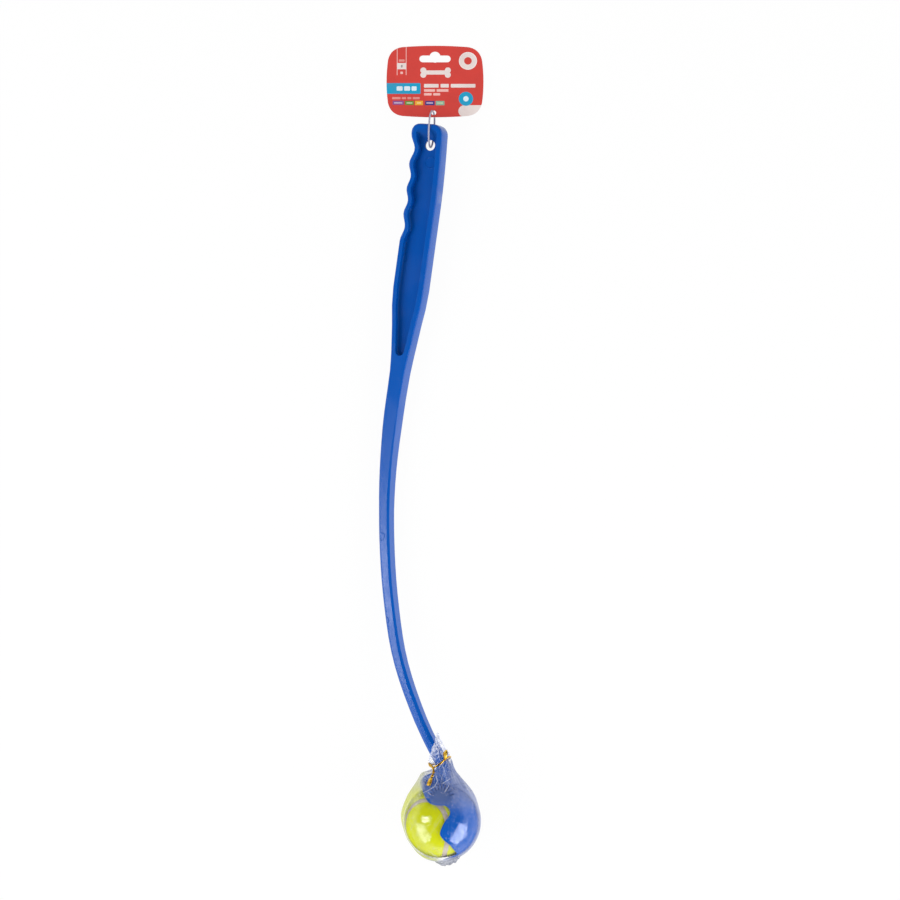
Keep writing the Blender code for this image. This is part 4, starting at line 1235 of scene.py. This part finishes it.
class THROWER_OT_ball(bpy.types.Operator):
    """The felt ball in the cup: two felts, the rubber line and the core"""

    bl_idname = "thrower.ball"
    bl_label = "Ball"

    def execute(self, context):
        colours = context.scene.thrower_colours
        cloth = yellow_felt(colours.felt)
        for index, first in ((1, True), (2, False)):
            panel = seat(make_felt(f"felt_{index}", first), BALL_FRAME)
            soft_shading(panel, 60.0)
            finish_piece(panel, cloth, "ball", [f"ball_felt_panel_{index}"])
        seam = seat(make_seam(), BALL_FRAME)
        soft_shading(seam, 60.0)
        finish_piece(seam, seam_rubber(colours.seam), "ball", ["ball_seam"])
        core = core_rubber()
        for index in (1, 2):
            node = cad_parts[f"ball_core_half_{index}"]
            node.data.materials.clear()
            node.data.materials.append(core)
        return {"FINISHED"}


class THROWER_OT_bag(bpy.types.Operator):
    """The clear film over the cup and ball, gathered round the shaft"""

    bl_idname = "thrower.bag"
    bl_label = "Film Bag"

    def execute(self, context):
        bag = seat(make_bag(context.scene.thrower_sizes), LYING)
        for vertex in bag.data.vertices:
            vertex.co.z = max(vertex.co.z, LOWEST_FILM)
        laid = bag.data.attributes.new("laid", "FLOAT_VECTOR", "POINT")
        for vertex in bag.data.vertices:
            laid.data[vertex.index].vector = vertex.co
        soft_shading(bag, 75.0)
        finish_piece(bag, clear_film(context.scene.thrower_colours.film))
        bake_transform(bag)
        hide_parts("film_bag")
        return {"FINISHED"}


class THROWER_OT_tie(bpy.types.Operator):
    """The gold foil twist tie round the bag's neck"""

    bl_idname = "thrower.tie"
    bl_label = "Twist Tie"

    def execute(self, context):
        tie = seat(make_tie(), LYING)
        soft_shading(tie, 50.0)
        finish_piece(tie, gold_foil(context.scene.thrower_colours.foil), "wand", ["twist_tie"])
        return {"FINISHED"}


class THROWER_OT_loop(bpy.types.Operator):
    """The plastic loop through the handle's hole and the card"""

    bl_idname = "thrower.loop"
    bl_label = "Tag Loop"

    def execute(self, context):
        strand = from_node("loop_strand", "tag_loop")
        finer = strand.modifiers.new("rounder", "SUBSURF")
        finer.levels = finer.render_levels = 1
        apply_modifiers(strand)
        edit_whole(strand, (bpy.ops.transform.shrink_fatten, {"value": -STRAND_SLACK}))
        soft_shading(strand, 60.0)
        plastic = loop_plastic(context.scene.thrower_colours.loop)
        finish_piece(strand, plastic, "loop", ["tag_loop"])
        return {"FINISHED"}


class THROWER_OT_tag(bpy.types.Operator):
    """The printed hang tag"""

    bl_idname = "thrower.tag"
    bl_label = "Hang Tag"

    def execute(self, context):
        card = from_node("printed_card", "hang_tag")
        pick(card)
        bpy.ops.object.shade_flat()
        finish_piece(card, red_card(context.scene.thrower_colours.card), "tag", ["hang_tag"])
        return {"FINISHED"}


class THROWER_OT_studio(bpy.types.Operator):
    """A pale floor, soft lamps and the camera above"""

    bl_idname = "thrower.studio"
    bl_label = "Studio"

    def execute(self, context):
        make_floor()
        make_room()
        make_lamps()
        make_camera()
        return {"FINISHED"}


def seen_or_mirrored(tree):
    """1 for what the camera sees straight, mirrored or through something clear, 0 for the rest."""
    path = add_node(tree, "ShaderNodeLightPath").outputs
    mirrored = larger(path["Is Glossy Ray"], path["Is Transmission Ray"])
    return larger(path["Is Camera Ray"], mirrored)


def make_floor():
    clear_selection()
    bpy.ops.mesh.primitive_plane_add(size=FLOOR_SIZE, location=FLOOR_PLACE)
    floor = bpy.context.object
    floor.name = "studio_floor"
    made = bpy.data.materials.new("studio_paper")
    tree = empty_tree(made)
    slow = noise_of(object_place(tree), 2.0, 2.0)
    shade = mix_colour(slow, rgb(236, 236, 236), rgb(242, 242, 242))
    paper = add_node(tree, "ShaderNodeBsdfDiffuse", {"Color": shade}).outputs[0]
    glow = add_node(tree, "ShaderNodeEmission", {"Color": WHITE, "Strength": 1.0}).outputs[0]
    share = times(seen_or_mirrored(tree), FLOOR_GLOW)
    both = add_node(tree, "ShaderNodeMixShader", {0: share, 1: paper, 2: glow}).outputs[0]
    add_node(tree, "ShaderNodeOutputMaterial", {"Surface": both})
    floor.data.materials.append(made)


def make_room():
    """A pale room: even light on the object, with a bright horizon and a dark ceiling in what mirrors."""
    world = bpy.data.worlds.new("studio_world")
    bpy.context.scene.world = world
    tree = empty_tree(world)
    seen = seen_or_mirrored(tree)
    climb = split(add_node(tree, "ShaderNodeTexCoord").outputs["Generated"])[2]
    walls = ramp(climb, 0.08, 0.5, 1.0, 0.035)
    strength = plus(times(seen, walls), times(minus(1.0, seen), ROOM_LIGHT))
    sky = add_node(tree, "ShaderNodeBackground", {"Color": WHITE, "Strength": strength}).outputs[0]
    add_node(tree, "ShaderNodeOutputWorld", {"Surface": sky})


def make_lamps():
    for name, place, aim, size, power in LAMPS:
        data = bpy.data.lights.new(name, "AREA")
        data.shape = "RECTANGLE"
        data.size, data.size_y = size
        data.energy = power
        lamp = bpy.data.objects.new(name, data)
        bpy.context.scene.collection.objects.link(lamp)
        lamp.location = place
        lamp.rotation_euler = (Vector(aim) - Vector(place)).to_track_quat("-Z", "Y").to_euler()


def make_camera():
    data = bpy.data.cameras.new("camera")
    data.sensor_width = 36.0
    data.lens = CAMERA_LENS
    data.clip_start, data.clip_end = 0.1, 50.0
    camera = bpy.data.objects.new("camera", data)
    bpy.context.scene.collection.objects.link(camera)
    camera.location = CAMERA_PLACE
    bpy.context.scene.camera = camera
    bpy.context.scene.view_settings.view_transform = "Standard"


class THROWER_PT_panel(bpy.types.Panel):
    bl_label = "Ball Thrower"
    bl_idname = "THROWER_PT_panel"
    bl_space_type = "VIEW_3D"
    bl_region_type = "UI"
    bl_category = "Thrower"

    def draw(self, context):
        for group in (context.scene.thrower_sizes, context.scene.thrower_colours):
            for name in group.__annotations__:
                self.layout.prop(group, name)
        for step in STEPS:
            self.layout.operator(step.bl_idname)


STEPS = (
    THROWER_OT_wand,
    THROWER_OT_ball,
    THROWER_OT_bag,
    THROWER_OT_tie,
    THROWER_OT_loop,
    THROWER_OT_tag,
    THROWER_OT_studio,
)
CLASSES = (MakerSizes, MakerColours, *STEPS, THROWER_PT_panel)


def register():
    for item in CLASSES:
        bpy.utils.register_class(item)
    bpy.types.Scene.thrower_sizes = bpy.props.PointerProperty(type=MakerSizes)
    bpy.types.Scene.thrower_colours = bpy.props.PointerProperty(type=MakerColours)


def unregister():
    del bpy.types.Scene.thrower_sizes
    del bpy.types.Scene.thrower_colours
    for item in reversed(CLASSES):
        bpy.utils.unregister_class(item)


def main():
    register()
    build_groups()
    bpy.ops.thrower.wand()
    bpy.ops.thrower.ball()
    bpy.ops.thrower.bag()
    bpy.ops.thrower.tie()
    bpy.ops.thrower.loop()
    bpy.ops.thrower.tag()
    bpy.ops.thrower.studio()
    clear_selection()


if __name__ == "__main__":
    main()
